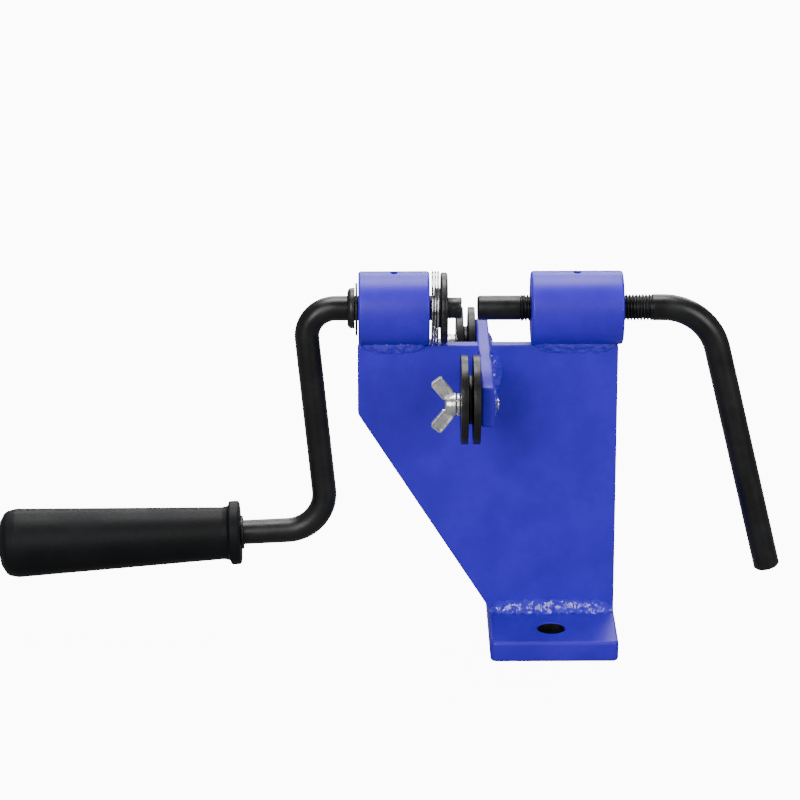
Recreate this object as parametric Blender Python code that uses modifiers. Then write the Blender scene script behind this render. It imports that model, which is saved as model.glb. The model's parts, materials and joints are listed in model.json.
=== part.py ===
"""Bench-mounted, hand-cranked rivet spinner for saw chain.

World frame: +X runs along the spindle from the crank to the feed screw, +Y points to the
back of the bench and +Z is up. The origin is the centre of the base plate's underside.
All lengths are in metres; the constants are written in millimetres times MM.
"""
import math

import bmesh
import bpy

MM = 0.001
GAP = 0.3 * MM                      # clearance between pieces that touch
ROUND_STEPS = 32                    # sides of a turned piece
ARC_STEP = math.radians(15.0)       # largest turn between two points of a bend

# --- stand ---------------------------------------------------------------------------
BASE_WIDTH = 58.9 * MM
BASE_DEPTH = 81.0 * MM
BASE_THICKNESS = 10.0 * MM
BASE_CORNER = 3.0 * MM
BASE_EDGE = 1.4 * MM
BASE_HOLE_DIAMETER = 13.0 * MM
BASE_HOLE_SHIFT = -0.9 * MM         # holes sit a little towards the crank
BASE_HOLE_OFFSET = 23.5 * MM        # hole centre to the middle of the upright plate
SPINDLE_HEIGHT = 157.8 * MM
PLATE_THICKNESS = 6.0 * MM
PLATE_CORNER = 2.0 * MM
PLATE_FOOT_INSET = 1.8 * MM         # plate's slanted edge meets the foot this far in
PLATE_SIDE_LENGTH = 33.0 * MM       # short upright edge under the spindle boss
PLATE_OVERHANG = 0.4 * MM           # plate past the spindle boss on the crank side
BOSS_DIAMETER = 33.6 * MM
BOSS_EDGE = 1.2 * MM
SPINDLE_BOSS_LENGTH = 32.4 * MM
SCREW_BOSS_LENGTH = 41.9 * MM
OIL_HOLE_DIAMETER = 3.6 * MM

# --- places along the spindle, measured from the chain's middle plane -----------------
CHAIN_PLANE_X = -39.4 * MM
SPINDLE_BOSS_TO_CHAIN = 17.6 * MM
SCREW_BOSS_TO_CHAIN = 28.4 * MM
BIT_TO_CHAIN = 2.9 * MM
ANVIL_TO_CHAIN = 4.1 * MM

# --- spindle, head and spring ---------------------------------------------------------
CRANK_ROD_DIAMETER = 11.3 * MM
BUSH_WALL = 2.0 * MM
SPINDLE_TRAVEL = 1.5 * MM
HEAD_DIAMETER = 32.4 * MM
HEAD_THICKNESS = 3.2 * MM
HEAD_EDGE = 0.8 * MM
HUB_DIAMETER = 18.0 * MM
ROD_SEAT_IN_DISC = 1.4 * MM         # how far the rod's end enters the head's disc
BIT_DIAMETER = 9.6 * MM
BIT_SHANK_DIAMETER = 5.0 * MM
BIT_SHANK_LENGTH = 0.8 * MM
BIT_SLOT_WIDTH = 1.3 * MM
BIT_SLOT_DEPTH = 1.0 * MM
BIT_SLOT_OFFSET = 2.3 * MM
SPRING_DIAMETER = 33.0 * MM
SPRING_WIRE = 0.9 * MM
SPRING_SPACE = 5.0 * MM             # boss face to the head's flange
SPRING_TURNS = 2.75
WASHER_DIAMETER = 24.0 * MM
WASHER_PLAY = 1.7 * MM              # washer bore over the rod
WASHER_THICKNESS = 1.0 * MM
COLLAR_DIAMETER = 18.6 * MM
COLLAR_LENGTH = 3.4 * MM
COLLAR_ROUND = 1.6 * MM

# --- crank ----------------------------------------------------------------------------
CRANK_BEND_TO_BOSS = 24.8 * MM      # boss face to the crossing of rod and arm
CRANK_TOP_BEND_RADIUS = 13.2 * MM
CRANK_FOOT_BEND_RADIUS = 18.0 * MM
CRANK_ARM_DROP = 107.1 * MM
CRANK_ARM_LEAN = 10.6 * MM          # how far the arm's foot stands nearer the boss
GRIP_SLOPE = math.radians(2.7)
GRIP_START = 40.7 * MM              # lower bend crossing to the grip's collar
GRIP_LENGTH = 111.7 * MM
GRIP_COLLAR_DIAMETER = 29.6 * MM
GRIP_COLLAR_WIDTH = 5.0 * MM
GRIP_NECK_DIAMETER = 24.2 * MM
GRIP_END_DIAMETER = 32.0 * MM
GRIP_END_ROUND = 8.0 * MM
GRIP_EDGE = 1.0 * MM                 # rounding of the grip's collar
GRIP_NECK_RUN = 3.0 * MM            # from the collar to the bare neck
GRIP_NECK_FLARE = 0.4               # where the neck's flare starts, as a share of that run
GRIP_DOME_POWERS = (0.62, 0.75)     # fullness of the grip's domed end, across and along
GRIP_BORE_DEPTH = 98.0 * MM
GRIP_WASHER_DIAMETER = 15.5 * MM
GRIP_WASHER_THICKNESS = 1.0 * MM
RING_DIAMETER = 14.0 * MM
RING_WIDTH = 1.2 * MM
RING_GROOVE_DEPTH = 0.9 * MM
RING_FROM_START = 80.0 * MM         # retaining ring's place inside the grip

# --- feed screw and anvil -------------------------------------------------------------
SCREW_DIAMETER = 12.0 * MM
SCREW_BEND_TO_BOSS = 38.8 * MM
SCREW_BEND_RADIUS = 26.0 * MM
SCREW_LEG_DROP = 126.8 * MM
SCREW_LEG_LEAN = 30.8 * MM
ANVIL_DIAMETER = 11.2 * MM
ANVIL_LENGTH = 19.4 * MM
ANVIL_CHAMFER = 0.8 * MM
ANVIL_SHANK_DIAMETER = 6.0 * MM
ANVIL_SHANK_LENGTH = 8.0 * MM

# --- chain rollers --------------------------------------------------------------------
ROLLER_DIAMETER = 40.0 * MM
ROLLER_WIDTH = 8.7 * MM
ROLLER_GROOVE = 2.3 * MM
ROLLER_HUB_DIAMETER = 22.0 * MM
ROLLER_ECCENTRICITY = 2.3 * MM
STUD_DIAMETER = 6.0 * MM
STUD_SPREAD = 42.0 * MM             # stud axis to the middle of the upright plate
STUD_DROP = 31.8 * MM               # stud axis below the spindle axis
STUD_END = 2.2 * MM                 # stud end past the bracket
STUD_WELD_DIAMETER = 15.0 * MM
STUD_WELD_LENGTH = 1.4 * MM
BRACKET_THICKNESS = 6.0 * MM
BRACKET_HEIGHT = 19.0 * MM
BRACKET_LENGTH = 100.0 * MM
BRACKET_EDGE = 0.8 * MM
BRACKET_TOP_DROP = 21.0 * MM        # bracket top below the spindle axis
LOCK_WASHER_DIAMETER = 10.2 * MM
LOCK_WASHER_THICKNESS = 1.4 * MM
LOCK_WASHER_SPLIT = 1.2 * MM
NUT_HUB_DIAMETER = 10.6 * MM
NUT_HUB_LENGTH = 5.0 * MM
NUT_WING_REACH = 13.2 * MM          # wing tip from the stud axis
NUT_WING_LENGTH = 11.4 * MM         # wing tip from the nut's seat
NUT_WING_WIDTH = 5.4 * MM
NUT_WING_THICKNESS = 2.8 * MM
NUT_WING_ROUND = 1.0 * MM
NUT_WING_ROOT = 2.2 * MM            # how deep a wing starts inside the hub
NUT_WING_TAPER = 0.7                # a wing's width at its root, as a share of its tip's
NUT_DOME = (0.85, 0.4)              # hub's shoulder along its length, and its crown's share
STUD_EDGE = 0.4 * MM

# --- welds ----------------------------------------------------------------------------
FOOT_WELD_RISE = 6.4 * MM            # up the plate
FOOT_WELD_REACH = 4.2 * MM           # out on the foot
BOSS_WELD_LEG = 5.0 * MM
BRACKET_WELD_LEG = 5.0 * MM
BRACKET_SEAM_LENGTH = 26.0 * MM     # thin run along the bracket behind the plate
BRACKET_SEAM_WIDTH = 1.4 * MM
WELD_END = 1.0 * MM                 # how far a bead stops short of what it joins
WELD_CROWN = 0.58                   # a bead's crown, as a share of each leg
BOSS_WELD_CROWN = (0.62, 0.45)      # crown of a boss bead: share of its leg out and down

BLUE = ("blue_paint", (0.045, 0.055, 0.40), 0.3, 0.0)
BLACK = ("black_oxide", (0.018, 0.018, 0.020), 0.45, 0.6)
ZINC = ("bright_zinc", (0.78, 0.79, 0.80), 0.25, 1.0)
SPRING_STEEL = ("spring_steel", (0.55, 0.55, 0.56), 0.3, 1.0)
BRONZE = ("bush_bronze", (0.45, 0.28, 0.12), 0.35, 1.0)
GRIP_PLASTIC = ("grip_plastic", (0.02, 0.021, 0.024), 0.5, 0.0)

SPINDLE_BOSS_RIGHT = CHAIN_PLANE_X - SPINDLE_BOSS_TO_CHAIN
SPINDLE_BOSS_LEFT = SPINDLE_BOSS_RIGHT - SPINDLE_BOSS_LENGTH
SCREW_BOSS_LEFT = CHAIN_PLANE_X + SCREW_BOSS_TO_CHAIN
SCREW_BOSS_RIGHT = SCREW_BOSS_LEFT + SCREW_BOSS_LENGTH
HEAD_LEFT = SPINDLE_BOSS_RIGHT + SPRING_SPACE
HUB_LENGTH = SPRING_SPACE - SPINDLE_TRAVEL - 2 * GAP
HEAD_RIGHT = HEAD_LEFT + HEAD_THICKNESS
BRACKET_LEFT = CHAIN_PLANE_X + ROLLER_WIDTH / 2 + GAP
BRACKET_RIGHT = BRACKET_LEFT + BRACKET_THICKNESS
BRACKET_TOP = SPINDLE_HEIGHT - BRACKET_TOP_DROP
BRACKET_BOTTOM = BRACKET_TOP - BRACKET_HEIGHT
PLATE_TOP = SPINDLE_HEIGHT - BOSS_DIAMETER / 2 - GAP
PLATE_BOTTOM = BASE_THICKNESS + GAP
PLATE_FACE = PLATE_THICKNESS / 2
STUD_Z = SPINDLE_HEIGHT - STUD_DROP
ROD_BORE = CRANK_ROD_DIAMETER + 2 * GAP
WASHER_BORE = CRANK_ROD_DIAMETER + WASHER_PLAY
BUSH_DIAMETER = ROD_BORE + 2 * BUSH_WALL


# --- helpers --------------------------------------------------------------------------
def clear_scene():
    """Remove whatever the file starts with."""
    for obj in list(bpy.data.objects):
        bpy.data.objects.remove(obj, do_unlink=True)


def new_collection(name):
    """Make a collection under the scene's own."""
    collection = bpy.data.collections.new(name)
    bpy.context.scene.collection.children.link(collection)
    return collection


def material(finish):
    """Return the Principled material of a finish, made at its first use."""
    name, color, roughness, metallic = finish
    if name in bpy.data.materials:
        return bpy.data.materials[name]
    made = bpy.data.materials.new(name)
    made.use_nodes = True
    shader = made.node_tree.nodes["Principled BSDF"]
    shader.inputs["Base Color"].default_value = (*color, 1.0)
    shader.inputs["Roughness"].default_value = roughness
    shader.inputs["Metallic"].default_value = metallic
    made.diffuse_color = (*color, 1.0)
    return made


def empty(name, location, rotation=(0.0, 0.0, 0.0)):
    """Add an axis marker that pieces are parented to."""
    marker = bpy.data.objects.new(name, None)
    marker.location = location
    marker.rotation_euler = rotation
    PARTS.objects.link(marker)
    return marker


def piece(name, mesh, finish, location=(0.0, 0.0, 0.0), rotation=(0.0, 0.0, 0.0), parent=None):
    """Add one named piece with its material."""
    obj = bpy.data.objects.new(name, mesh)
    obj.location = location
    obj.rotation_euler = rotation
    obj.parent = parent
    mesh.materials.clear()
    mesh.materials.append(material(finish))
    mesh.shade_smooth()
    mesh.set_sharp_from_angle(angle=math.radians(32.0))
    PARTS.objects.link(obj)
    return obj


def cutter(name, mesh, location=(0.0, 0.0, 0.0), rotation=(0.0, 0.0, 0.0), parent=None):
    """Add a shape that only cuts or joins."""
    obj = bpy.data.objects.new(name, mesh)
    obj.location = location
    obj.rotation_euler = rotation
    obj.parent = parent
    obj.hide_render = True
    obj.display_type = "WIRE"
    CUTTERS.objects.link(obj)
    return obj


def boolean(obj, other, operation):
    """Cut another object from a piece, or join it on."""
    modifier = obj.modifiers.new(f"{operation.lower()}_{other.name}", "BOOLEAN")
    modifier.operation = operation
    modifier.solver = "EXACT"
    modifier.object = other


def bevel(obj, width, segments=2, angle=40.0):
    """Round a piece's sharp edges."""
    modifier = obj.modifiers.new("rounded_edges", "BEVEL")
    modifier.width = width
    modifier.segments = segments
    modifier.limit_method = "ANGLE"
    modifier.angle_limit = math.radians(angle)


def frozen_mesh(source, name):
    """Turn an object into a plain welded mesh and remove the object."""
    depsgraph = bpy.context.evaluated_depsgraph_get()
    mesh = bpy.data.meshes.new_from_object(source.evaluated_get(depsgraph))
    mesh.name = name
    shape = bmesh.new()
    shape.from_mesh(mesh)
    bmesh.ops.remove_doubles(shape, verts=shape.verts, dist=1e-6)
    shape.to_mesh(mesh)
    shape.free()
    bpy.data.objects.remove(source, do_unlink=True)
    return mesh


def arc(centre, radius, start, end, steps):
    """Return points on an arc, both ends included, in degrees."""
    points = []
    for step in range(steps + 1):
        angle = math.radians(start + (end - start) * step / steps)
        points.append((centre[0] + radius * math.cos(angle), centre[1] + radius * math.sin(angle)))
    return points


def rounded_path(corners):
    """Round the inner corners of a flat path; each corner is (x, y, radius)."""
    points = [corners[0][:2]]
    for before, here, after in zip(corners, corners[1:], corners[2:]):
        points += corner_arc(before, here, after)
    points.append(corners[-1][:2])
    return points


def rounded_loop(corners):
    """Round every corner of a closed flat outline; each corner is (x, y, radius)."""
    points = []
    for index, here in enumerate(corners):
        points += corner_arc(corners[index - 1], here, corners[(index + 1) % len(corners)])
    return points


def corner_arc(before, here, after):
    """Return the points of the arc that rounds one corner."""
    x, y, radius = here
    if radius == 0.0:
        return [(x, y)]
    angle_in = math.atan2(y - before[1], x - before[0])
    angle_out = math.atan2(after[1] - y, after[0] - x)
    turn = math.remainder(angle_out - angle_in, 2 * math.pi)
    cut_back = radius * math.tan(abs(turn) / 2)
    start = (x - cut_back * math.cos(angle_in), y - cut_back * math.sin(angle_in))
    side = math.copysign(math.pi / 2, turn)
    centre = (start[0] + radius * math.cos(angle_in + side), start[1] + radius * math.sin(angle_in + side))
    steps = max(2, math.ceil(abs(turn) / ARC_STEP))
    first = math.degrees(angle_in - side)
    return arc(centre, radius, first, first + math.degrees(turn), steps)


def turned_mesh(name, profile, closed=False, steps=ROUND_STEPS):
    """Turn a (radius, height) profile about Z; it runs down the outer side."""
    mesh = bpy.data.meshes.new(name)
    edges = [(index, index + 1) for index in range(len(profile) - 1)]
    if closed:
        edges.append((len(profile) - 1, 0))
    mesh.from_pydata([(radius, 0.0, height) for radius, height in profile], edges, [])
    source = bpy.data.objects.new(name, mesh)
    CUTTERS.objects.link(source)
    screw = source.modifiers.new("turn", "SCREW")
    screw.axis = "Z"
    screw.steps = steps
    screw.render_steps = steps
    screw.use_merge_vertices = True
    screw.merge_threshold = 1e-6
    return frozen_mesh(source, name)


def rod_mesh(name, points, radius, sides=20):
    """Make a round bar along a list of 3D points."""
    curve = bpy.data.curves.new(name, "CURVE")
    curve.dimensions = "3D"
    curve.bevel_depth = radius
    curve.bevel_resolution = (sides - 4) // 2
    curve.use_fill_caps = True
    spline = curve.splines.new("POLY")
    spline.points.add(len(points) - 1)
    for spot, (x, y, z) in zip(spline.points, points):
        spot.co = (x, y, z, 1.0)
    source = bpy.data.objects.new(name, curve)
    CUTTERS.objects.link(source)
    return frozen_mesh(source, name)


def flat_mesh(name, outline, thickness):
    """Make a plate from a closed outline, centred on its own plane."""
    curve = bpy.data.curves.new(name, "CURVE")
    curve.dimensions = "2D"
    curve.fill_mode = "BOTH"
    curve.extrude = thickness / 2
    spline = curve.splines.new("POLY")
    spline.points.add(len(outline) - 1)
    for spot, (x, y) in zip(spline.points, outline):
        spot.co = (x, y, 0.0, 1.0)
    spline.use_cyclic_u = True
    source = bpy.data.objects.new(name, curve)
    CUTTERS.objects.link(source)
    return frozen_mesh(source, name)


def cylinder_mesh(name, diameter, length, sides=24):
    """Make a plain cylinder along Z, centred."""
    mesh = bpy.data.meshes.new(name)
    shape = bmesh.new()
    bmesh.ops.create_cone(
        shape, cap_ends=True, segments=sides, radius1=diameter / 2, radius2=diameter / 2, depth=length
    )
    shape.to_mesh(mesh)
    shape.free()
    return mesh


def ring_profile(outer, inner, length, edge=0.0):
    """Return a closed tube profile with its outer corners rounded."""
    half = length / 2
    if edge == 0.0:
        return [(outer / 2, half), (outer / 2, -half), (inner / 2, -half), (inner / 2, half)]
    top = arc((outer / 2 - edge, half - edge), edge, 90, 0, 3)
    bottom = arc((outer / 2 - edge, edge - half), edge, 0, -90, 3)
    return top + bottom + [(inner / 2, -half), (inner / 2, half)]


ALONG_X = (0.0, math.pi / 2, 0.0)            # turns local +Z to world +X
UPRIGHT = (math.pi / 2, 0.0, 0.0)            # turns a local XY outline to world XZ
ACROSS = (math.pi / 2, 0.0, math.pi / 2)     # turns a local XY outline to world YZ


# --- stand ----------------------------------------------------------------------------
def build_base_plate():
    """Foot plate with its two bench-bolt holes."""
    half_width = BASE_WIDTH / 2
    half_depth = BASE_DEPTH / 2
    outline = rounded_loop([
        (-half_width, -half_depth, BASE_CORNER),
        (half_width, -half_depth, BASE_CORNER),
        (half_width, half_depth, BASE_CORNER),
        (-half_width, half_depth, BASE_CORNER),
    ])
    mesh = flat_mesh("base_plate", outline, BASE_THICKNESS)
    base = piece("base_plate", mesh, BLUE, (0.0, 0.0, BASE_THICKNESS / 2))
    bevel(base, BASE_EDGE)
    for side, name in ((-1, "front"), (1, "rear")):
        hole = cutter(
            f"{name}_base_hole",
            cylinder_mesh(f"{name}_base_hole", BASE_HOLE_DIAMETER, 3 * BASE_THICKNESS, ROUND_STEPS),
            (BASE_HOLE_SHIFT, side * BASE_HOLE_OFFSET, BASE_THICKNESS / 2),
        )
        boolean(base, hole, "DIFFERENCE")


def build_upright_plate():
    """Web plate between the foot and the bosses, notched for the roller bracket."""
    left = SPINDLE_BOSS_LEFT - PLATE_OVERHANG
    right = BASE_WIDTH / 2 - GAP
    outline = rounded_loop([
        (right, PLATE_BOTTOM, 0.0),
        (right, PLATE_TOP, PLATE_CORNER / 2),
        (BRACKET_RIGHT + GAP, PLATE_TOP, 0.0),
        (BRACKET_RIGHT + GAP, BRACKET_BOTTOM - GAP, 0.0),
        (BRACKET_LEFT - GAP, BRACKET_BOTTOM - GAP, 0.0),
        (BRACKET_LEFT - GAP, PLATE_TOP, 0.0),
        (left, PLATE_TOP, PLATE_CORNER),
        (left, PLATE_TOP - PLATE_SIDE_LENGTH, 2 * PLATE_CORNER),
        (-BASE_WIDTH / 2 + PLATE_FOOT_INSET, PLATE_BOTTOM, 0.0),
    ])
    mesh = flat_mesh("upright_plate", outline, PLATE_THICKNESS)
    piece("upright_plate", mesh, BLUE, (0.0, 0.0, 0.0), UPRIGHT)


def build_boss(name, left, length, bore):
    """Round boss on the plate's top edge with an oil hole on top."""
    centre = left + length / 2
    mesh = turned_mesh(name, ring_profile(BOSS_DIAMETER, bore, length, BOSS_EDGE), closed=True)
    boss = piece(name, mesh, BLUE, (centre, 0.0, SPINDLE_HEIGHT), ALONG_X)
    hole = cutter(
        f"{name}_oil_hole",
        cylinder_mesh(f"{name}_oil_hole", OIL_HOLE_DIAMETER, BOSS_DIAMETER, 16),
        (centre, 0.0, SPINDLE_HEIGHT + BOSS_DIAMETER / 2),
    )
    boolean(boss, hole, "DIFFERENCE")
    return hole


def build_bosses():
    """Both bosses, and the plain bush the spindle runs in."""
    oil_hole = build_boss(
        "spindle_boss", SPINDLE_BOSS_LEFT, SPINDLE_BOSS_LENGTH, BUSH_DIAMETER + 2 * GAP
    )
    build_boss("screw_boss", SCREW_BOSS_LEFT, SCREW_BOSS_LENGTH, SCREW_DIAMETER + 2 * GAP)
    mesh = turned_mesh(
        "spindle_bush", ring_profile(BUSH_DIAMETER, ROD_BORE, SPINDLE_BOSS_LENGTH), closed=True
    )
    centre = SPINDLE_BOSS_LEFT + SPINDLE_BOSS_LENGTH / 2
    bush = piece("spindle_bush", mesh, BRONZE, (centre, 0.0, SPINDLE_HEIGHT), ALONG_X)
    boolean(bush, oil_hole, "DIFFERENCE")


def build_roller_bracket():
    """Cross bar set in the plate's notch, drilled for the two roller studs."""
    half_length = BRACKET_LENGTH / 2
    outline = [
        (-half_length, BRACKET_BOTTOM),
        (half_length, BRACKET_BOTTOM),
        (half_length, BRACKET_TOP),
        (-half_length, BRACKET_TOP),
    ]
    mesh = flat_mesh("roller_bracket", outline, BRACKET_THICKNESS)
    centre = (BRACKET_LEFT + BRACKET_RIGHT) / 2
    bracket = piece("roller_bracket", mesh, BLUE, (centre, 0.0, 0.0), ACROSS)
    bevel(bracket, BRACKET_EDGE)
    for side, name in ((-1, "front"), (1, "rear")):
        hole = cutter(
            f"{name}_stud_hole",
            cylinder_mesh(f"{name}_stud_hole", STUD_DIAMETER + 2 * GAP, 3 * BRACKET_THICKNESS),
            (centre, side * STUD_SPREAD, STUD_Z),
            ALONG_X,
        )
        boolean(bracket, hole, "DIFFERENCE")


def fillet_outline(corner, leg_out, leg_up, side):
    """Return a fillet weld's section in YZ; side is -1 in front and 1 behind."""
    y, z = corner
    foot = (y + side * leg_out, z)
    head = (y, z + leg_up)
    crown = (y + side * WELD_CROWN * leg_out, z + WELD_CROWN * leg_up)
    return [corner, foot, crown, head]


def build_foot_welds():
    """Fillets between the foot and both faces of the upright plate."""
    length = BASE_WIDTH - 2 * WELD_END
    for side, name in ((-1, "front"), (1, "rear")):
        corner = (side * (PLATE_FACE + GAP), BASE_THICKNESS + GAP)
        outline = fillet_outline(corner, FOOT_WELD_REACH, FOOT_WELD_RISE, side)
        mesh = flat_mesh(f"foot_weld_{name}", outline, length)
        piece(f"foot_weld_{name}", mesh, BLUE, (0.0, 0.0, 0.0), ACROSS)


def boss_weld_outline(side):
    """Return the section of the bead between the plate's face and a boss."""
    reach = BOSS_DIAMETER / 2 + GAP
    face = PLATE_FACE + GAP
    outer = face + BOSS_WELD_LEG
    points = []
    for step in range(4):
        y = face + (outer - face) * step / 3
        points.append((side * y, SPINDLE_HEIGHT - math.sqrt(reach ** 2 - y ** 2)))
    top = points[0][1]
    crown_out, crown_down = BOSS_WELD_CROWN
    points.append((side * (face + crown_out * BOSS_WELD_LEG), top - crown_down * BOSS_WELD_LEG))
    points.append((side * face, top - BOSS_WELD_LEG))
    return points


def build_boss_welds():
    """Beads along the underside of each boss, on both faces of the plate."""
    spans = {
        "spindle_boss": (SPINDLE_BOSS_LEFT, SPINDLE_BOSS_RIGHT),
        "screw_boss": (SCREW_BOSS_LEFT, min(SCREW_BOSS_RIGHT, BASE_WIDTH / 2)),
    }
    for boss, (left, right) in spans.items():
        length = right - left - 4 * WELD_END
        centre = (left + right) / 2
        for side, name in ((-1, "front"), (1, "rear")):
            node = f"{boss}_weld_{name}"
            mesh = flat_mesh(node, boss_weld_outline(side), length)
            piece(node, mesh, BLUE, (centre, 0.0, 0.0), ACROSS)


def build_bracket_welds():
    """Upright fillets where the bracket's right face meets the plate; the rear one runs on."""
    height = BRACKET_HEIGHT - WELD_END
    x = BRACKET_RIGHT + GAP
    face = PLATE_FACE + GAP
    bulge = WELD_CROWN * BRACKET_WELD_LEG
    front = [(x, -face), (x + BRACKET_WELD_LEG, -face), (x + bulge, -face - bulge)]
    front += [(x, -face - BRACKET_WELD_LEG)]
    seam_end = face + BRACKET_SEAM_LENGTH
    rear = [(x, face), (x + BRACKET_WELD_LEG, face), (x + bulge, face + bulge)]
    rear += [(x + BRACKET_SEAM_WIDTH, face + BRACKET_WELD_LEG)]
    rear += [(x + BRACKET_SEAM_WIDTH, seam_end), (x, seam_end)]
    middle = (BRACKET_TOP + BRACKET_BOTTOM) / 2
    for name, outline in (("front", front), ("rear", rear)):
        mesh = flat_mesh(f"bracket_weld_{name}", outline, height)
        piece(f"bracket_weld_{name}", mesh, BLUE, (0.0, 0.0, middle))


# --- spindle --------------------------------------------------------------------------
def build_spinner_head():
    """Disc with a hub: the rod seats in its back and the bit in its front."""
    hub = HUB_DIAMETER / 2
    rim = HEAD_DIAMETER / 2
    rod_seat = HUB_LENGTH + ROD_SEAT_IN_DISC + GAP
    bit_seat = HUB_LENGTH + HEAD_THICKNESS - BIT_SHANK_LENGTH - GAP
    bit_hole = BIT_SHANK_DIAMETER / 2 + GAP
    top = HUB_LENGTH + HEAD_THICKNESS
    profile = [(0.0, bit_seat), (bit_hole, bit_seat), (bit_hole, top)]
    profile += arc((rim - HEAD_EDGE, top - HEAD_EDGE), HEAD_EDGE, 90, 0, 3)
    profile += arc((rim - HEAD_EDGE, HUB_LENGTH + HEAD_EDGE), HEAD_EDGE, 0, -90, 3)
    profile += [(hub, HUB_LENGTH), (hub, 0.0), (ROD_BORE / 2, 0.0), (ROD_BORE / 2, rod_seat)]
    profile += [(0.0, rod_seat)]
    mesh = turned_mesh("spinner_head", profile)
    piece("spinner_head", mesh, BLACK, (HEAD_LEFT - HUB_LENGTH, 0.0, 0.0), ALONG_X, SPINDLE_AXIS)


def build_peening_bit():
    """Hardened bit with a dished, slotted end that rolls the rivet's head."""
    radius = BIT_DIAMETER / 2
    shank = BIT_SHANK_DIAMETER / 2
    length = CHAIN_PLANE_X - BIT_TO_CHAIN - HEAD_RIGHT - GAP
    profile = [(0.0, length - BIT_SLOT_DEPTH / 2), (radius / 2, length)]
    profile += [(radius - GAP, length), (radius, length - GAP), (radius, 0.0)]
    profile += [(shank, 0.0), (shank, -BIT_SHANK_LENGTH), (0.0, -BIT_SHANK_LENGTH)]
    mesh = turned_mesh("peening_bit", profile, steps=24)
    place = (HEAD_RIGHT + GAP, 0.0, 0.0)
    bit = piece("peening_bit", mesh, BLACK, place, ALONG_X, SPINDLE_AXIS)
    slot_mesh = flat_mesh(
        "bit_slot",
        [(-BIT_SLOT_DEPTH, -BIT_SLOT_WIDTH / 2), (BIT_SLOT_DEPTH, -BIT_SLOT_WIDTH / 2),
         (BIT_SLOT_DEPTH, BIT_SLOT_WIDTH / 2), (-BIT_SLOT_DEPTH, BIT_SLOT_WIDTH / 2)],
        2 * BIT_DIAMETER,
    )
    end = HEAD_RIGHT + GAP + length
    slot = cutter("bit_slot", slot_mesh, (end, 0.0, BIT_SLOT_OFFSET), UPRIGHT, SPINDLE_AXIS)
    boolean(bit, slot, "DIFFERENCE")


def build_return_spring():
    """Open coil between the boss and the head, which lets the spindle give."""
    radius = (SPRING_DIAMETER - SPRING_WIRE) / 2
    start = SPINDLE_BOSS_RIGHT + GAP + SPRING_WIRE / 2
    end = HEAD_LEFT - GAP - SPRING_WIRE / 2
    steps = round(SPRING_TURNS * 20)
    points = []
    for step in range(steps + 1):
        angle = 2 * math.pi * SPRING_TURNS * step / steps
        x = start + (end - start) * step / steps
        points.append((x, radius * math.cos(angle), radius * math.sin(angle)))
    mesh = rod_mesh("return_spring", points, SPRING_WIRE / 2, sides=8)
    piece("return_spring", mesh, SPRING_STEEL, parent=SPINDLE_AXIS)


def build_spindle_stops():
    """Loose washer and fixed collar that stop the spindle at the crank side."""
    drop = WASHER_PLAY / 2 - GAP
    washer_x = SPINDLE_BOSS_LEFT - GAP - WASHER_THICKNESS / 2
    mesh = turned_mesh(
        "spindle_washer", ring_profile(WASHER_DIAMETER, WASHER_BORE, WASHER_THICKNESS), closed=True
    )
    piece("spindle_washer", mesh, BLACK, (washer_x, 0.0, -drop), ALONG_X, SPINDLE_AXIS)
    half = COLLAR_LENGTH / 2
    rim = COLLAR_DIAMETER / 2
    profile = [(rim, half)] + arc((rim - COLLAR_ROUND, COLLAR_ROUND - half), COLLAR_ROUND, 0, -90, 4)
    profile += [(ROD_BORE / 2, -half), (ROD_BORE / 2, half)]
    collar_x = washer_x - WASHER_THICKNESS / 2 - GAP - half
    mesh = turned_mesh("spindle_collar", profile, closed=True)
    piece("spindle_collar", mesh, BLACK, (collar_x, 0.0, 0.0), ALONG_X, SPINDLE_AXIS)


def grip_point(distance):
    """Return X and Z, from the spindle axis, at a distance along the grip's rod."""
    bend_x = SPINDLE_BOSS_LEFT - CRANK_BEND_TO_BOSS + CRANK_ARM_LEAN
    x = bend_x - distance * math.cos(GRIP_SLOPE)
    return x, -CRANK_ARM_DROP - distance * math.sin(GRIP_SLOPE)


def build_crank_arm():
    """One bar bent twice: spindle, arm and the rod that carries the grip."""
    rod_end = HEAD_LEFT + ROD_SEAT_IN_DISC
    tip = grip_point(GRIP_START + RING_FROM_START + 6 * RING_WIDTH)
    foot = grip_point(0.0)
    corners = [
        (rod_end, 0.0, 0.0),
        (SPINDLE_BOSS_LEFT - CRANK_BEND_TO_BOSS, 0.0, CRANK_TOP_BEND_RADIUS),
        (*foot, CRANK_FOOT_BEND_RADIUS),
        (*tip, 0.0),
    ]
    points = [(x, 0.0, z) for x, z in rounded_path(corners)]
    mesh = rod_mesh("crank_arm", points, CRANK_ROD_DIAMETER / 2)
    crank = piece("crank_arm", mesh, BLACK, parent=SPINDLE_AXIS)
    groove_mesh = turned_mesh(
        "ring_groove",
        ring_profile(
            CRANK_ROD_DIAMETER + 4 * GAP,
            CRANK_ROD_DIAMETER - 2 * RING_GROOVE_DEPTH,
            RING_WIDTH + 2 * GAP,
        ),
        closed=True,
        steps=20,
    )
    groove = cutter("ring_groove", groove_mesh, (0.0, 0.0, RING_FROM_START), parent=GRIP_AXIS)
    boolean(crank, groove, "DIFFERENCE")


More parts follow.
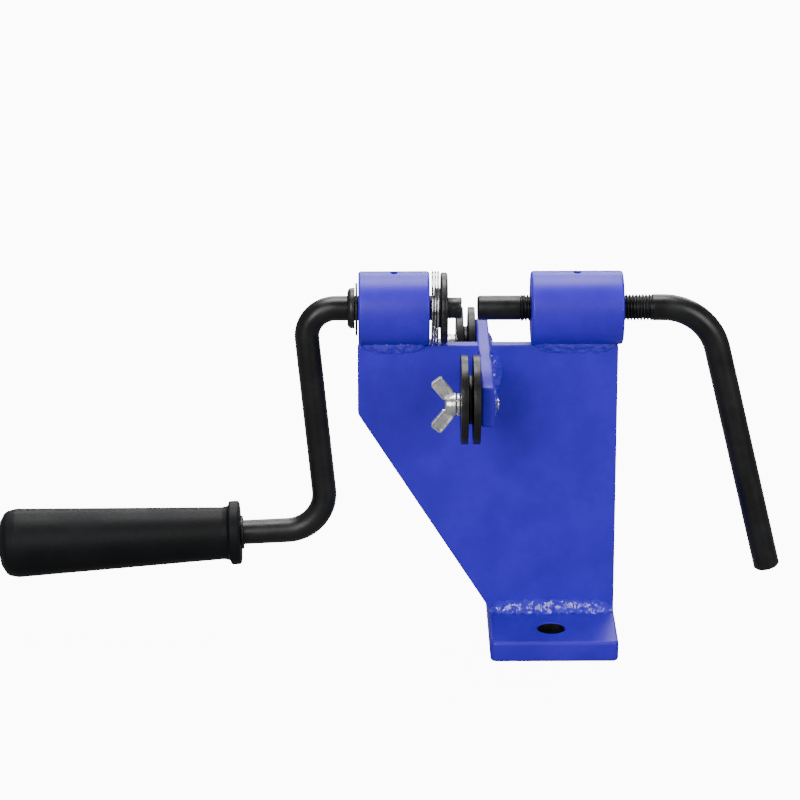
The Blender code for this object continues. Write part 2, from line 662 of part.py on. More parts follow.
def build_grip():
    """Turning handle on the crank's rod, with its washer and retaining ring."""
    collar = GRIP_COLLAR_DIAMETER / 2
    neck = GRIP_NECK_DIAMETER / 2
    fat = GRIP_END_DIAMETER / 2
    bore = ROD_BORE / 2
    pocket = RING_DIAMETER / 2 + GAP
    pocket_low = RING_FROM_START - RING_WIDTH
    pocket_high = RING_FROM_START + RING_WIDTH
    edge = GRIP_EDGE
    shoulder = GRIP_LENGTH - GRIP_END_ROUND
    across, along = GRIP_DOME_POWERS
    profile = [(0.0, GRIP_LENGTH)]
    for step in range(1, 7):
        angle = math.radians(15.0 * step)
        height = GRIP_LENGTH - GRIP_END_ROUND * (1 - math.cos(angle) ** along)
        profile.append((fat * math.sin(angle) ** across, height))
    profile[-1] = (fat, shoulder)
    profile += [(neck, GRIP_COLLAR_WIDTH + GRIP_NECK_RUN)]
    profile += [(neck + edge, GRIP_COLLAR_WIDTH + GRIP_NECK_FLARE * GRIP_NECK_RUN)]
    profile += arc((collar - edge, GRIP_COLLAR_WIDTH - edge), edge, 60, 0, 2)
    profile += arc((collar - edge, edge), edge, 0, -90, 2)
    profile += [(bore, 0.0), (bore, pocket_low), (pocket, pocket_low)]
    profile += [(pocket, pocket_high), (bore, pocket_high), (bore, GRIP_BORE_DEPTH)]
    profile += [(0.0, GRIP_BORE_DEPTH)]
    mesh = turned_mesh("crank_grip", profile)
    piece("crank_grip", mesh, GRIP_PLASTIC, parent=GRIP_AXIS)
    washer_mesh = turned_mesh(
        "grip_washer", ring_profile(GRIP_WASHER_DIAMETER, ROD_BORE, GRIP_WASHER_THICKNESS), closed=True
    )
    washer_place = (0.0, 0.0, -GAP - GRIP_WASHER_THICKNESS / 2)
    piece("grip_washer", washer_mesh, BLACK, washer_place, parent=GRIP_AXIS)
    ring_bore = CRANK_ROD_DIAMETER - 2 * RING_GROOVE_DEPTH + 2 * GAP
    ring_mesh = turned_mesh(
        "grip_retaining_ring", ring_profile(RING_DIAMETER, ring_bore, RING_WIDTH), closed=True
    )
    piece("grip_retaining_ring", ring_mesh, SPRING_STEEL, (0.0, 0.0, RING_FROM_START), parent=GRIP_AXIS)


# --- feed screw -----------------------------------------------------------------------
def build_feed_screw():
    """Threaded bar bent down into its own handle, drilled for the anvil."""
    start = CHAIN_PLANE_X + ANVIL_TO_CHAIN + ANVIL_LENGTH + GAP
    bend = SCREW_BOSS_RIGHT + SCREW_BEND_TO_BOSS
    corners = [
        (start, 0.0, 0.0),
        (bend, 0.0, SCREW_BEND_RADIUS),
        (bend + SCREW_LEG_LEAN, -SCREW_LEG_DROP, 0.0),
    ]
    points = [(x, 0.0, z) for x, z in rounded_path(corners)]
    mesh = rod_mesh("feed_screw", points, SCREW_DIAMETER / 2, sides=24)
    screw = piece("feed_screw", mesh, BLACK, parent=FEED_AXIS)
    depth = ANVIL_SHANK_LENGTH + GAP
    hole = cutter(
        "anvil_hole",
        cylinder_mesh("anvil_hole", ANVIL_SHANK_DIAMETER + 2 * GAP, 2 * depth),
        (start, 0.0, 0.0),
        ALONG_X,
        FEED_AXIS,
    )
    boolean(screw, hole, "DIFFERENCE")


def build_anvil_tip():
    """Hardened anvil in the screw's end, which backs the rivet up."""
    radius = ANVIL_DIAMETER / 2
    shank = ANVIL_SHANK_DIAMETER / 2
    end = ANVIL_LENGTH + ANVIL_SHANK_LENGTH
    profile = [(0.0, end), (shank, end), (shank, ANVIL_LENGTH), (radius, ANVIL_LENGTH)]
    profile += [(radius, ANVIL_CHAMFER), (radius - ANVIL_CHAMFER, 0.0), (0.0, 0.0)]
    mesh = turned_mesh("anvil_tip", profile, steps=24)
    place = (CHAIN_PLANE_X + ANVIL_TO_CHAIN, 0.0, 0.0)
    piece("anvil_tip", mesh, BLACK, place, ALONG_X, FEED_AXIS)


# --- chain rollers --------------------------------------------------------------------
def wing_mesh(name):
    """Make one wing of the nut, leaning out and away from its seat."""
    rise = NUT_WING_REACH - NUT_HUB_DIAMETER / 2 + NUT_WING_WIDTH / 2
    run = NUT_WING_LENGTH - NUT_WING_WIDTH * NUT_WING_TAPER
    length = math.hypot(rise, run)
    across_x = NUT_WING_WIDTH * rise / length
    across_r = NUT_WING_WIDTH * run / length
    root = (-NUT_HUB_LENGTH / 5, NUT_HUB_DIAMETER / 2 - NUT_WING_ROOT)
    tip = (-NUT_WING_LENGTH + across_x, NUT_WING_REACH)
    outline = rounded_loop([
        (*root, 0.0),
        (*tip, NUT_WING_ROUND),
        (tip[0] - across_x, tip[1] - across_r, NUT_WING_ROUND),
        (root[0] - across_x * NUT_WING_TAPER, root[1] - across_r * NUT_WING_TAPER, 0.0),
    ])
    return flat_mesh(name, outline, NUT_WING_THICKNESS)


def build_wing_nut(name, marker, seat, wing_turn):
    """Wing nut: a domed hub with two wings joined on."""
    hub = NUT_HUB_DIAMETER / 2
    bore = STUD_DIAMETER / 2 + GAP
    shoulder, crown_share = NUT_DOME
    crown = (hub - bore) * crown_share
    profile = [(hub, 0.0), (hub, -NUT_HUB_LENGTH / 2)]
    profile += [(hub - crown * crown_share, -NUT_HUB_LENGTH * shoulder)]
    profile += [(hub - crown, -NUT_HUB_LENGTH), (bore, -NUT_HUB_LENGTH), (bore, 0.0)]
    mesh = turned_mesh(name, profile, closed=True, steps=24)
    nut = piece(name, mesh, ZINC, (seat, 0.0, 0.0), ALONG_X, marker)
    for side, turn in (("upper", wing_turn), ("lower", wing_turn + math.pi)):
        wing_name = f"{name}_{side}_wing"
        frame = bpy.data.objects.new(f"{wing_name}_turn", None)
        frame.parent = marker
        frame.location = (seat, 0.0, 0.0)
        frame.rotation_euler = (turn, 0.0, 0.0)
        CUTTERS.objects.link(frame)
        wing = cutter(wing_name, wing_mesh(wing_name), (0.0, 0.0, 0.0), UPRIGHT, frame)
        boolean(nut, wing, "UNION")
    bore_name = f"{name}_bore"
    bore_mesh = cylinder_mesh(bore_name, 2 * bore, 2 * NUT_WING_LENGTH)
    hole = cutter(bore_name, bore_mesh, (seat, 0.0, 0.0), ALONG_X, marker)
    boolean(nut, hole, "DIFFERENCE")


def build_lock_washer(name, marker, middle):
    """Spring washer, split through one side."""
    mesh = turned_mesh(
        name,
        ring_profile(LOCK_WASHER_DIAMETER, STUD_DIAMETER + 2 * GAP, LOCK_WASHER_THICKNESS),
        closed=True,
        steps=24,
    )
    washer = piece(name, mesh, ZINC, (middle, 0.0, 0.0), ALONG_X, marker)
    half_split = LOCK_WASHER_SPLIT / 2
    reach = LOCK_WASHER_THICKNESS
    slit_mesh = flat_mesh(
        f"{name}_split",
        [(-reach, -half_split - reach / 2), (reach, reach / 2 - half_split),
         (reach, half_split + reach / 2), (-reach, half_split - reach / 2)],
        LOCK_WASHER_DIAMETER,
    )
    place = (middle, -LOCK_WASHER_DIAMETER / 2, -LOCK_WASHER_SPLIT)
    slit = cutter(f"{name}_split", slit_mesh, place, UPRIGHT, marker)
    boolean(washer, slit, "DIFFERENCE")


def build_roller(name, marker, offset_sign):
    """Grooved chain roller, bored off centre so that turning it sets the chain's height."""
    rim = ROLLER_DIAMETER / 2
    hub = ROLLER_HUB_DIAMETER / 2
    half = ROLLER_WIDTH / 2
    half_groove = ROLLER_GROOVE / 2
    profile = [(0.0, half), (rim, half), (rim, half_groove), (hub + half_groove, half_groove)]
    profile += arc((hub + half_groove, 0.0), half_groove, 135, 225, 2)
    profile += [(hub + half_groove, -half_groove), (rim, -half_groove), (rim, -half), (0.0, -half)]
    mesh = turned_mesh(name, profile, steps=48)
    place = (CHAIN_PLANE_X, 0.0, offset_sign * ROLLER_ECCENTRICITY)
    roller = piece(name, mesh, BLACK, place, ALONG_X, marker)
    bore_name = f"{name}_bore"
    bore_mesh = cylinder_mesh(bore_name, STUD_DIAMETER + 2 * GAP, 2 * ROLLER_WIDTH)
    bore = cutter(bore_name, bore_mesh, (CHAIN_PLANE_X, 0.0, 0.0), ALONG_X, marker)
    boolean(roller, bore, "DIFFERENCE")


def build_roller_set(name, side, offset_sign, wing_turn):
    """One stud with everything that is threaded on it."""
    marker = empty(f"{name}_stud_axis", (0.0, side * STUD_SPREAD, STUD_Z))
    washer_middle = CHAIN_PLANE_X - ROLLER_WIDTH / 2 - GAP - LOCK_WASHER_THICKNESS / 2
    seat = washer_middle - LOCK_WASHER_THICKNESS / 2 - GAP
    build_roller(f"{name}_roller", marker, offset_sign)
    build_lock_washer(f"{name}_lock_washer", marker, washer_middle)
    build_wing_nut(f"{name}_wing_nut", marker, seat, wing_turn)
    right = BRACKET_RIGHT + STUD_END
    left = seat - NUT_HUB_LENGTH + GAP
    stud_mesh = cylinder_mesh(f"{name}_stud", STUD_DIAMETER, right - left)
    stud = piece(f"{name}_stud", stud_mesh, ZINC, ((left + right) / 2, 0.0, 0.0), ALONG_X, marker)
    bevel(stud, STUD_EDGE)
    weld_mesh = turned_mesh(
        f"{name}_stud_weld",
        ring_profile(STUD_WELD_DIAMETER, STUD_DIAMETER + 2 * GAP, STUD_WELD_LENGTH, STUD_WELD_LENGTH / 2),
        closed=True,
        steps=24,
    )
    weld_place = (BRACKET_RIGHT + GAP + STUD_WELD_LENGTH / 2, 0.0, 0.0)
    piece(f"{name}_stud_weld", weld_mesh, BLUE, weld_place, ALONG_X, marker)


clear_scene()
PARTS = new_collection("rivet_spinner")
CUTTERS = new_collection("cutters")
SPINDLE_AXIS = empty("spindle_axis", (0.0, 0.0, SPINDLE_HEIGHT))
FEED_AXIS = empty("feed_axis", (0.0, 0.0, SPINDLE_HEIGHT))
GRIP_AXIS = empty("grip_axis", (0.0, 0.0, 0.0), (0.0, -math.pi / 2 - GRIP_SLOPE, 0.0))
GRIP_AXIS.parent = SPINDLE_AXIS
GRIP_X, GRIP_Z = grip_point(GRIP_START)
GRIP_AXIS.location = (GRIP_X, 0.0, GRIP_Z)

build_base_plate()
build_upright_plate()
build_bosses()
build_roller_bracket()
build_foot_welds()
build_boss_welds()
build_bracket_welds()
build_spinner_head()
build_peening_bit()
build_return_spring()
build_spindle_stops()
build_crank_arm()
build_grip()
build_feed_screw()
build_anvil_tip()
build_roller_set("front", -1, 1, 0.0)
build_roller_set("rear", 1, -1, math.radians(80.0))
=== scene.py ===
"""Looks of a bench-mounted, hand-cranked rivet spinner for saw chain.

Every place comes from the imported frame: +X runs along the spindle from the crank to the feed
screw, +Y points to the back of the bench and +Z is up. All lengths are in metres; sizes are
written in millimetres times MM. Each sub-assembly is a class that makes its pieces and dresses
them, and main() builds the classes in order.
"""
import json
import logging
import math
from collections.abc import Callable, Sequence
from dataclasses import dataclass, replace
from enum import Enum

import bmesh
import bpy
import numpy as np
from bpy.types import Material, Mesh, Node, NodeSocket, NodeTree, Object
from mathutils import Euler, Matrix, Vector


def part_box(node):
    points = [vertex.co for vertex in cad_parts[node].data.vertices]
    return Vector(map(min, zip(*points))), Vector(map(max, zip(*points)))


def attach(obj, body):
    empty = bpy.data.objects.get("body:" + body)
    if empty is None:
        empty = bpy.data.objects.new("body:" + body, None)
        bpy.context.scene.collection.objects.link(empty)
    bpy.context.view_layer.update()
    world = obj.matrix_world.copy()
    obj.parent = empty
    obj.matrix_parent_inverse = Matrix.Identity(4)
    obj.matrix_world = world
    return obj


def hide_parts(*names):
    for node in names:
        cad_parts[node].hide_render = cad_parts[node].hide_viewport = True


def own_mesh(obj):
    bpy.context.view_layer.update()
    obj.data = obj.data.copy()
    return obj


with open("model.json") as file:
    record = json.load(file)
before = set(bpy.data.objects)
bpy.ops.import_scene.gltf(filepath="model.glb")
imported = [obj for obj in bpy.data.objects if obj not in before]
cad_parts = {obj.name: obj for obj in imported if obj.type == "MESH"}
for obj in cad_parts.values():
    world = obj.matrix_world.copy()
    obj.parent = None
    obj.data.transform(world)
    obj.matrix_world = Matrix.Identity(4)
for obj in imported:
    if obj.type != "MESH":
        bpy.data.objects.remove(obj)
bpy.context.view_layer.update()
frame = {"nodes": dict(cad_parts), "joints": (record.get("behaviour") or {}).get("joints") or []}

LOG = logging.getLogger("rivet_spinner")
MM = 0.001
FULL_TURN = 2 * math.pi

CLOUD_RANGE = (0.34, 0.68)
WEAR_SCALE = 400.0
WORN_POINTINESS = (0.51, 0.56)
WORN_PATCHES = (0.4, 0.62)
DUST_SCALE = 900.0
DUST_TILT = (0.5, 1.0)
DUST_SPECKS = (0.45, 0.75)
DUST_COLOR = (0.42, 0.42, 0.44, 1.0)
THREAD_FLANK = (0.08, 0.86)
RIPPLE_BOW = 0.6
COIL_STEPS = 90
WIRE_SIDES = 16
BLACK = (0.0, 0.0, 0.0, 1.0)
WHITE = (1.0, 1.0, 1.0, 1.0)
UP = Vector((0.0, 0.0, 1.0))
CREASE = 35.0
THREAD_CREASE = 50.0
BEAD_CREASE = 60.0

Point2 = tuple[float, float]
Corner = tuple[float, float, float]


# --- named options ----------------------------------------------------------------------
class Slot(Enum):
    """Material slots of the record."""

    ENAMEL = "blue_paint"
    OXIDE = "black_oxide"
    ZINC = "bright_zinc"
    SPRING = "spring_steel"
    BRONZE = "bush_bronze"
    GRIP = "grip_plastic"


class Side(Enum):
    """Front and rear of the upright plate; the value is the sign of Y."""

    FRONT = -1
    REAR = 1

    @property
    def word(self) -> str:
        """Return the side's name as it stands in node names."""
        return self.name.lower()


class Through(Enum):
    """Axis that a plate's thickness lies along."""

    X = 0
    Y = 1

    def place(self, u: float, v: float, depth: float) -> tuple[float, float, float]:
        """Return the point of outline coordinates u and v at a depth."""
        spot = [u, v]
        spot.insert(self.value, depth)
        return tuple(spot)


# --- node trees -------------------------------------------------------------------------
class Tree:
    """Short way to add and join the nodes of one tree."""

    def __init__(self, nodes: NodeTree) -> None:
        """Keep the tree that is being built."""
        self.nodes = nodes

    def add(self, kind: str, inputs: dict | None = None, **settings) -> Node:
        """Add a node.

        Args:
            kind: the node's type name.
            inputs: values or sockets for its inputs, by name or number.
            **settings: the node's own properties.

        Returns:
            The new node.
        """
        node = self.nodes.nodes.new(kind)
        for name, value in settings.items():
            setattr(node, name, value)
        for key, value in (inputs or {}).items():
            if isinstance(value, NodeSocket):
                self.nodes.links.new(value, node.inputs[key])
            else:
                node.inputs[key].default_value = value
        return node

    def vector(self, operation: str, *values) -> NodeSocket:
        """Add a Vector Math node; return its vector, or a dot product's or length's value."""
        node = self.add("ShaderNodeVectorMath", dict(enumerate(values)), operation=operation)
        return node.outputs[1 if operation in ("DOT_PRODUCT", "LENGTH") else 0]

    def scaled(self, vector: NodeSocket, factor: NodeSocket) -> NodeSocket:
        """Return a vector times a factor."""
        inputs = {0: vector, "Scale": factor}
        return self.add("ShaderNodeVectorMath", inputs, operation="SCALE").outputs[0]

    def moved(self, shape: NodeSocket, offset: NodeSocket,
              which: NodeSocket | bool = True) -> NodeSocket:
        """Return a shape with its points, or some of them, moved by an offset."""
        inputs = {"Geometry": shape, "Offset": offset, "Selection": which}
        return self.add("GeometryNodeSetPosition", inputs).outputs[0]

    def math(self, operation: str, *values, clamp: bool = False) -> NodeSocket:
        """Add a scalar Math node and return its result."""
        inputs = dict(enumerate(values))
        return self.add("ShaderNodeMath", inputs, operation=operation, use_clamp=clamp).outputs[0]

    def spot(self) -> NodeSocket:
        """Add the shaded point in Object coordinates."""
        return self.add("ShaderNodeTexCoord").outputs["Object"]

    def noise(self, spot: NodeSocket, scale: NodeSocket | float, detail: float,
              roughness: float = 0.5) -> NodeSocket:
        """Add cloudy noise and return its value."""
        inputs = {"Vector": spot, "Scale": scale, "Detail": detail, "Roughness": roughness}
        return self.add("ShaderNodeTexNoise", inputs).outputs[0]

    def spread(self, value: NodeSocket, low: float, high: float, to_low: float = 0.0,
               to_high: float = 1.0) -> NodeSocket:
        """Map a value from one range to another, smoothly and without overshoot."""
        ends = {"From Min": low, "From Max": high, "To Min": to_low, "To Max": to_high}
        node = self.add("ShaderNodeMapRange", {"Value": value, **ends},
                        interpolation_type="SMOOTHSTEP")
        return node.outputs["Result"]

    def blend(self, share: NodeSocket | float, first, second) -> NodeSocket:
        """Mix two colours by a share."""
        mix = self.add("ShaderNodeMix", data_type="RGBA")
        for index, value in ((0, share), (6, first), (7, second)):
            if isinstance(value, NodeSocket):
                self.nodes.links.new(value, mix.inputs[index])
            else:
                mix.inputs[index].default_value = value
        return mix.outputs[2]


Default = float | tuple[float, ...]
Fill = Callable[[Tree, dict], object]
TreeMaker = Callable[[], NodeTree]


def add_sockets(group: NodeTree, in_out: str, sockets: dict[str, Default | str]) -> None:
    """Give a node group its sockets.

    Args:
        group: the node group.
        in_out: INPUT or OUTPUT.
        sockets: default value of each named socket, or its kind where it has no default.
    """
    for label, value in sockets.items():
        if isinstance(value, str):
            group.interface.new_socket(label, in_out=in_out, socket_type=f"NodeSocket{value}")
            continue
        kind = {1: "Float", 3: "Vector", 4: "Color"}[np.size(value)]
        socket = group.interface.new_socket(label, in_out=in_out, socket_type=f"NodeSocket{kind}")
        socket.default_value = value


def shader_group(name: str, inputs: dict[str, Default],
                 outputs: dict[str, str]) -> Callable[[Fill], TreeMaker]:
    """Turn a function that fills a shader tree into one that returns its node group.

    Args:
        name: the group's name.
        inputs: default value of each named input.
        outputs: socket kind of each named output.

    Returns:
        The decorator. The filling function gets the tree and the input sockets, and returns
        the outputs; the group is built at the first call.
    """

    def wrap(fill: Fill) -> TreeMaker:
        """Take the filling function."""

        def made() -> NodeTree:
            """Return the tree, the same one at each call."""
            if name in bpy.data.node_groups:
                return bpy.data.node_groups[name]
            group = bpy.data.node_groups.new(name, "ShaderNodeTree")
            add_sockets(group, "INPUT", inputs)
            add_sockets(group, "OUTPUT", outputs)
            tree = Tree(group)
            entry = tree.add("NodeGroupInput")
            given = {label: entry.outputs[label] for label in inputs}
            tree.add("NodeGroupOutput", fill(tree, given))
            return group

        return made

    return wrap


@shader_group("surface_relief", {"Wave Scale": 300.0, "Grain Scale": 1500.0, "Grain Share": 0.2},
              {"Height": "Float"})
def relief_group(tree: Tree, given: dict) -> dict:
    """Fine surface height: coarse waves with grain on them."""
    spot = tree.spot()
    coarse = tree.noise(spot, given["Wave Scale"], detail=1.0, roughness=0.4)
    fine = tree.noise(spot, given["Grain Scale"], detail=3.0, roughness=0.6)
    return {"Height": tree.math("ADD", coarse, tree.math("MULTIPLY", fine, given["Grain Share"]))}


@shader_group("mottled_tone", {"Dark": BLACK, "Light": WHITE, "Scale": 60.0},
              {"Color": "Color", "Mask": "Float"})
def mottle_group(tree: Tree, given: dict) -> dict:
    """Two colours mixed by cloudy noise, and the mask of the mix."""
    cloud = tree.noise(tree.spot(), given["Scale"], detail=5.0, roughness=0.62)
    mask = tree.spread(cloud, *CLOUD_RANGE)
    return {"Color": tree.blend(mask, given["Dark"], given["Light"]), "Mask": mask}


@shader_group("edge_wear", {"Amount": 0.5}, {"Mask": "Float"})
def edge_wear_group(tree: Tree, given: dict) -> dict:
    """Mask of rubbed outer edges: sharp convex edges, broken up by noise."""
    pointed = tree.add("ShaderNodeNewGeometry").outputs["Pointiness"]
    broken = tree.noise(tree.spot(), WEAR_SCALE, detail=4.0, roughness=0.7)
    edge = tree.spread(pointed, *WORN_POINTINESS)
    patchy = tree.math("MULTIPLY", edge, tree.spread(broken, *WORN_PATCHES))
    return {"Mask": tree.math("MULTIPLY", patchy, given["Amount"], clamp=True)}


@shader_group("settled_dust", {"Amount": 0.1}, {"Mask": "Float"})
def dust_group(tree: Tree, given: dict) -> dict:
    """Mask of fine dust on faces that look up, thinned by noise."""
    normal = tree.add("ShaderNodeNewGeometry").outputs["Normal"]
    up = tree.add("ShaderNodeSeparateXYZ", {0: normal}).outputs["Z"]
    specks = tree.noise(tree.spot(), DUST_SCALE, detail=6.0, roughness=0.75)
    thin = tree.math("MULTIPLY", tree.spread(up, *DUST_TILT), tree.spread(specks, *DUST_SPECKS))
    return {"Mask": tree.math("MULTIPLY", thin, given["Amount"], clamp=True)}


# --- finishes ---------------------------------------------------------------------------
@dataclass(frozen=True)
class Finish:
    """A surface finish: two tones, how glossy it is, its relief and its worn edges."""

    slot: Slot
    dark: tuple[float, float, float]
    light: tuple[float, float, float]
    worn: tuple[float, float, float]
    metallic: float
    roughness: tuple[float, float]
    relief: float
    wave_scale: float
    grain_scale: float
    grain_share: float = 0.25
    mottle_scale: float = 60.0
    wear: float = 0.4
    dust: float = 0.04
    coat: float = 0.0
    coat_roughness: float = 0.1
    specular: float = 0.5
    variant: str = ""

    def material(self) -> Material:
        """Return the finish's material, built at its first use.

        The prefix keeps it apart from the plain materials that come with the frame.
        """
        name = f"finish_{self.slot.value}{self.variant}"
        if name not in bpy.data.materials:
            self.build(bpy.data.materials.new(name))
        return bpy.data.materials[name]

    def build(self, made: Material) -> None:
        """Fill a new material with the finish's nodes.

        Args:
            made: the empty material.
        """
        made.use_nodes = True
        tree = Tree(made.node_tree)
        shader = made.node_tree.nodes["Principled BSDF"]
        for label, value in (
            ("Metallic", self.metallic), ("Specular IOR Level", self.specular),
            ("Coat Weight", self.coat), ("Coat Roughness", self.coat_roughness),
        ):
            shader.inputs[label].default_value = value
        tone = tree.add("ShaderNodeGroup", {
            "Dark": (*self.dark, 1.0), "Light": (*self.light, 1.0), "Scale": self.mottle_scale,
        }, node_tree=mottle_group()).outputs
        wear = tree.add("ShaderNodeGroup", {"Amount": self.wear}, node_tree=edge_wear_group())
        dust = tree.add("ShaderNodeGroup", {"Amount": self.dust}, node_tree=dust_group())
        color = tree.blend(wear.outputs[0], tone["Color"], (*self.worn, 1.0))
        color = tree.blend(dust.outputs[0], color, DUST_COLOR)
        height = tree.add("ShaderNodeGroup", {
            "Wave Scale": self.wave_scale, "Grain Scale": self.grain_scale,
            "Grain Share": self.grain_share,
        }, node_tree=relief_group()).outputs[0]
        bump = tree.add("ShaderNodeBump", {"Height": height, "Distance": self.relief})
        gloss = tree.spread(tone["Mask"], 0.0, 1.0, *self.roughness)
        normal = bump.outputs[0]
        for socket, value in (("Base Color", color), ("Roughness", gloss), ("Normal", normal)):
            made.node_tree.links.new(value, shader.inputs[socket])


ENAMEL = Finish(
    Slot.ENAMEL, (0.034, 0.003, 0.50), (0.041, 0.005, 0.60), (0.09, 0.08, 0.66), metallic=0.0,
    roughness=(0.38, 0.44), relief=0.015 * MM, wave_scale=240.0, grain_scale=1500.0, grain_share=0.08,
    mottle_scale=45.0, wear=0.0, dust=0.01, coat=0.05, coat_roughness=0.40, specular=0.36,
)
ENAMEL_BEAD = replace(
    ENAMEL, dark=(0.045, 0.014, 0.62), light=(0.060, 0.024, 0.74), roughness=(0.12, 0.22),
    relief=0.14 * MM, wave_scale=900.0, coat=1.0, coat_roughness=0.05, specular=0.5,
    wear=0.3, variant="_bead",
)
OXIDE = Finish(
    Slot.OXIDE, (0.006, 0.006, 0.0065), (0.026, 0.026, 0.027), (0.11, 0.11, 0.115), metallic=0.25,
    roughness=(0.30, 0.46), relief=0.07 * MM, wave_scale=700.0, grain_scale=2600.0, grain_share=0.6,
    mottle_scale=340.0, wear=0.45, dust=0.05,
)
OXIDE_ROLLER = replace(
    OXIDE, dark=(0.005, 0.005, 0.0055), light=(0.010, 0.010, 0.011), worn=(0.05, 0.05, 0.055),
    mottle_scale=90.0, variant="_roller",
)
OXIDE_BAR = Finish(
    Slot.OXIDE, (0.0045, 0.0045, 0.005), (0.009, 0.009, 0.010), (0.06, 0.06, 0.065), metallic=0.2,
    roughness=(0.30, 0.42), relief=0.06 * MM, wave_scale=260.0, grain_scale=1800.0, grain_share=0.5,
    mottle_scale=70.0, wear=0.3, dust=0.03, variant="_bar",
)
ZINC = Finish(
    Slot.ZINC, (0.62, 0.63, 0.62), (0.90, 0.90, 0.89), (0.97, 0.97, 0.97), metallic=0.82,
    roughness=(0.20, 0.34), relief=0.05 * MM, wave_scale=900.0, grain_scale=3000.0, grain_share=0.4,
    mottle_scale=160.0, wear=0.5, dust=0.01,
)
SPRING_WIRE = Finish(
    Slot.SPRING, (0.30, 0.29, 0.29), (0.62, 0.62, 0.63), (0.8, 0.8, 0.8), metallic=1.0,
    roughness=(0.12, 0.22), relief=0.02 * MM, wave_scale=1200.0, grain_scale=4000.0,
    mottle_scale=220.0, wear=0.3, dust=0.01,
)
BRONZE = Finish(
    Slot.BRONZE, (0.24, 0.13, 0.05), (0.40, 0.24, 0.10), (0.55, 0.36, 0.18), metallic=1.0,
    roughness=(0.34, 0.48), relief=0.03 * MM, wave_scale=900.0, grain_scale=3500.0,
    mottle_scale=120.0, wear=0.4, dust=0.0,
)
GRIP = Finish(
    Slot.GRIP, (0.0045, 0.0047, 0.0055), (0.0065, 0.0068, 0.0078), (0.03, 0.031, 0.035), metallic=0.0,
    roughness=(0.46, 0.54), relief=0.05 * MM, wave_scale=600.0, grain_scale=2400.0, grain_share=0.8,
    mottle_scale=40.0, wear=0.25, dust=0.02, specular=0.12,
)


# --- mesh work --------------------------------------------------------------------------
def cleaned(mesh: Mesh) -> Mesh:
    """Merge a mesh's doubles and turn its faces outward."""
    shape = bmesh.new()
    shape.from_mesh(mesh)
    bmesh.ops.remove_doubles(shape, verts=shape.verts, dist=1e-7)
    bmesh.ops.recalc_face_normals(shape, faces=shape.faces)
    shape.to_mesh(mesh)
    shape.free()
    return mesh


def skin(name: str, rings: Sequence[np.ndarray], looped: bool = False) -> Mesh:
    """Join equal rings of points into one closed skin.

    Args:
        name: the mesh's name.
        rings: the rings, in order, each an array of points.
        looped: whether the last ring joins the first; otherwise both ends are capped.

    Returns:
        The mesh, with poles merged and faces pointing out.
    """
    sides = len(rings[0])
    count = len(rings)
    faces = []
    for row in range(count if looped else count - 1):
        this = row * sides
        following = (row + 1) % count * sides
        for side in range(sides):
            beside = (side + 1) % sides
            faces.append((this + side, this + beside, following + beside, following + side))
    if not looped:
        faces.append(tuple(range(sides)))
        faces.append(tuple(range((count - 1) * sides, count * sides)))
    mesh = bpy.data.meshes.new(name)
    mesh.from_pydata(np.concatenate(rings).tolist(), [], faces)
    return cleaned(mesh)


def arc(centre: Point2, radius: float, start: float, end: float, steps: int = 6) -> list[Point2]:
    """Return points on an arc, both ends included, with its angles in degrees."""
    turns = np.radians(np.linspace(start, end, steps + 1))
    u, v = centre
    return [(u + radius * math.cos(turn), v + radius * math.sin(turn)) for turn in turns]


def rounded_corner(before: Corner, here: Corner, after: Corner, step: float) -> list[Point2]:
    """Return the arc that rounds one corner of a path, a point for each step of turn."""
    x, y, radius = here
    if radius == 0.0:
        return [(x, y)]
    angle_in = math.atan2(y - before[1], x - before[0])
    angle_out = math.atan2(after[1] - y, after[0] - x)
    turn = math.remainder(angle_out - angle_in, FULL_TURN)
    cut_back = radius * math.tan(abs(turn) / 2)
    side = math.copysign(math.pi / 2, turn)
    centre = (
        x - cut_back * math.cos(angle_in) + radius * math.cos(angle_in + side),
        y - cut_back * math.sin(angle_in) + radius * math.sin(angle_in + side),
    )
    first = math.degrees(angle_in - side)
    steps = max(3, math.ceil(abs(turn) / step))
    return arc(centre, radius, first, first + math.degrees(turn), steps)


def outline(corners: Sequence[Corner], step: float = math.radians(10.0)) -> list[Point2]:
    """Return a closed outline with its corners rounded; each corner is (u, v, radius)."""
    points = []
    for index, here in enumerate(corners):
        after = corners[(index + 1) % len(corners)]
        points += rounded_corner(corners[index - 1], here, after, step)
    return points


def route(corners: Sequence[Corner], spacing: float) -> np.ndarray:
    """Return points along an open flat path.

    Args:
        corners: (x, z, bend radius) of the ends and of each bend.
        spacing: largest distance between two points of a straight run.

    Returns:
        The points as rows of (x, z).
    """
    marks = [corners[0][:2]]
    for before, here, after in zip(corners, corners[1:], corners[2:]):
        marks += rounded_corner(before, here, after, math.radians(3.0))
    marks.append(corners[-1][:2])
    points = [np.array(marks[0])]
    for start, end in zip(np.array(marks), np.array(marks)[1:]):
        steps = max(1, math.ceil(np.linalg.norm(end - start) / spacing))
        points += [start + (end - start) * step / steps for step in range(1, steps + 1)]
    return np.array(points)


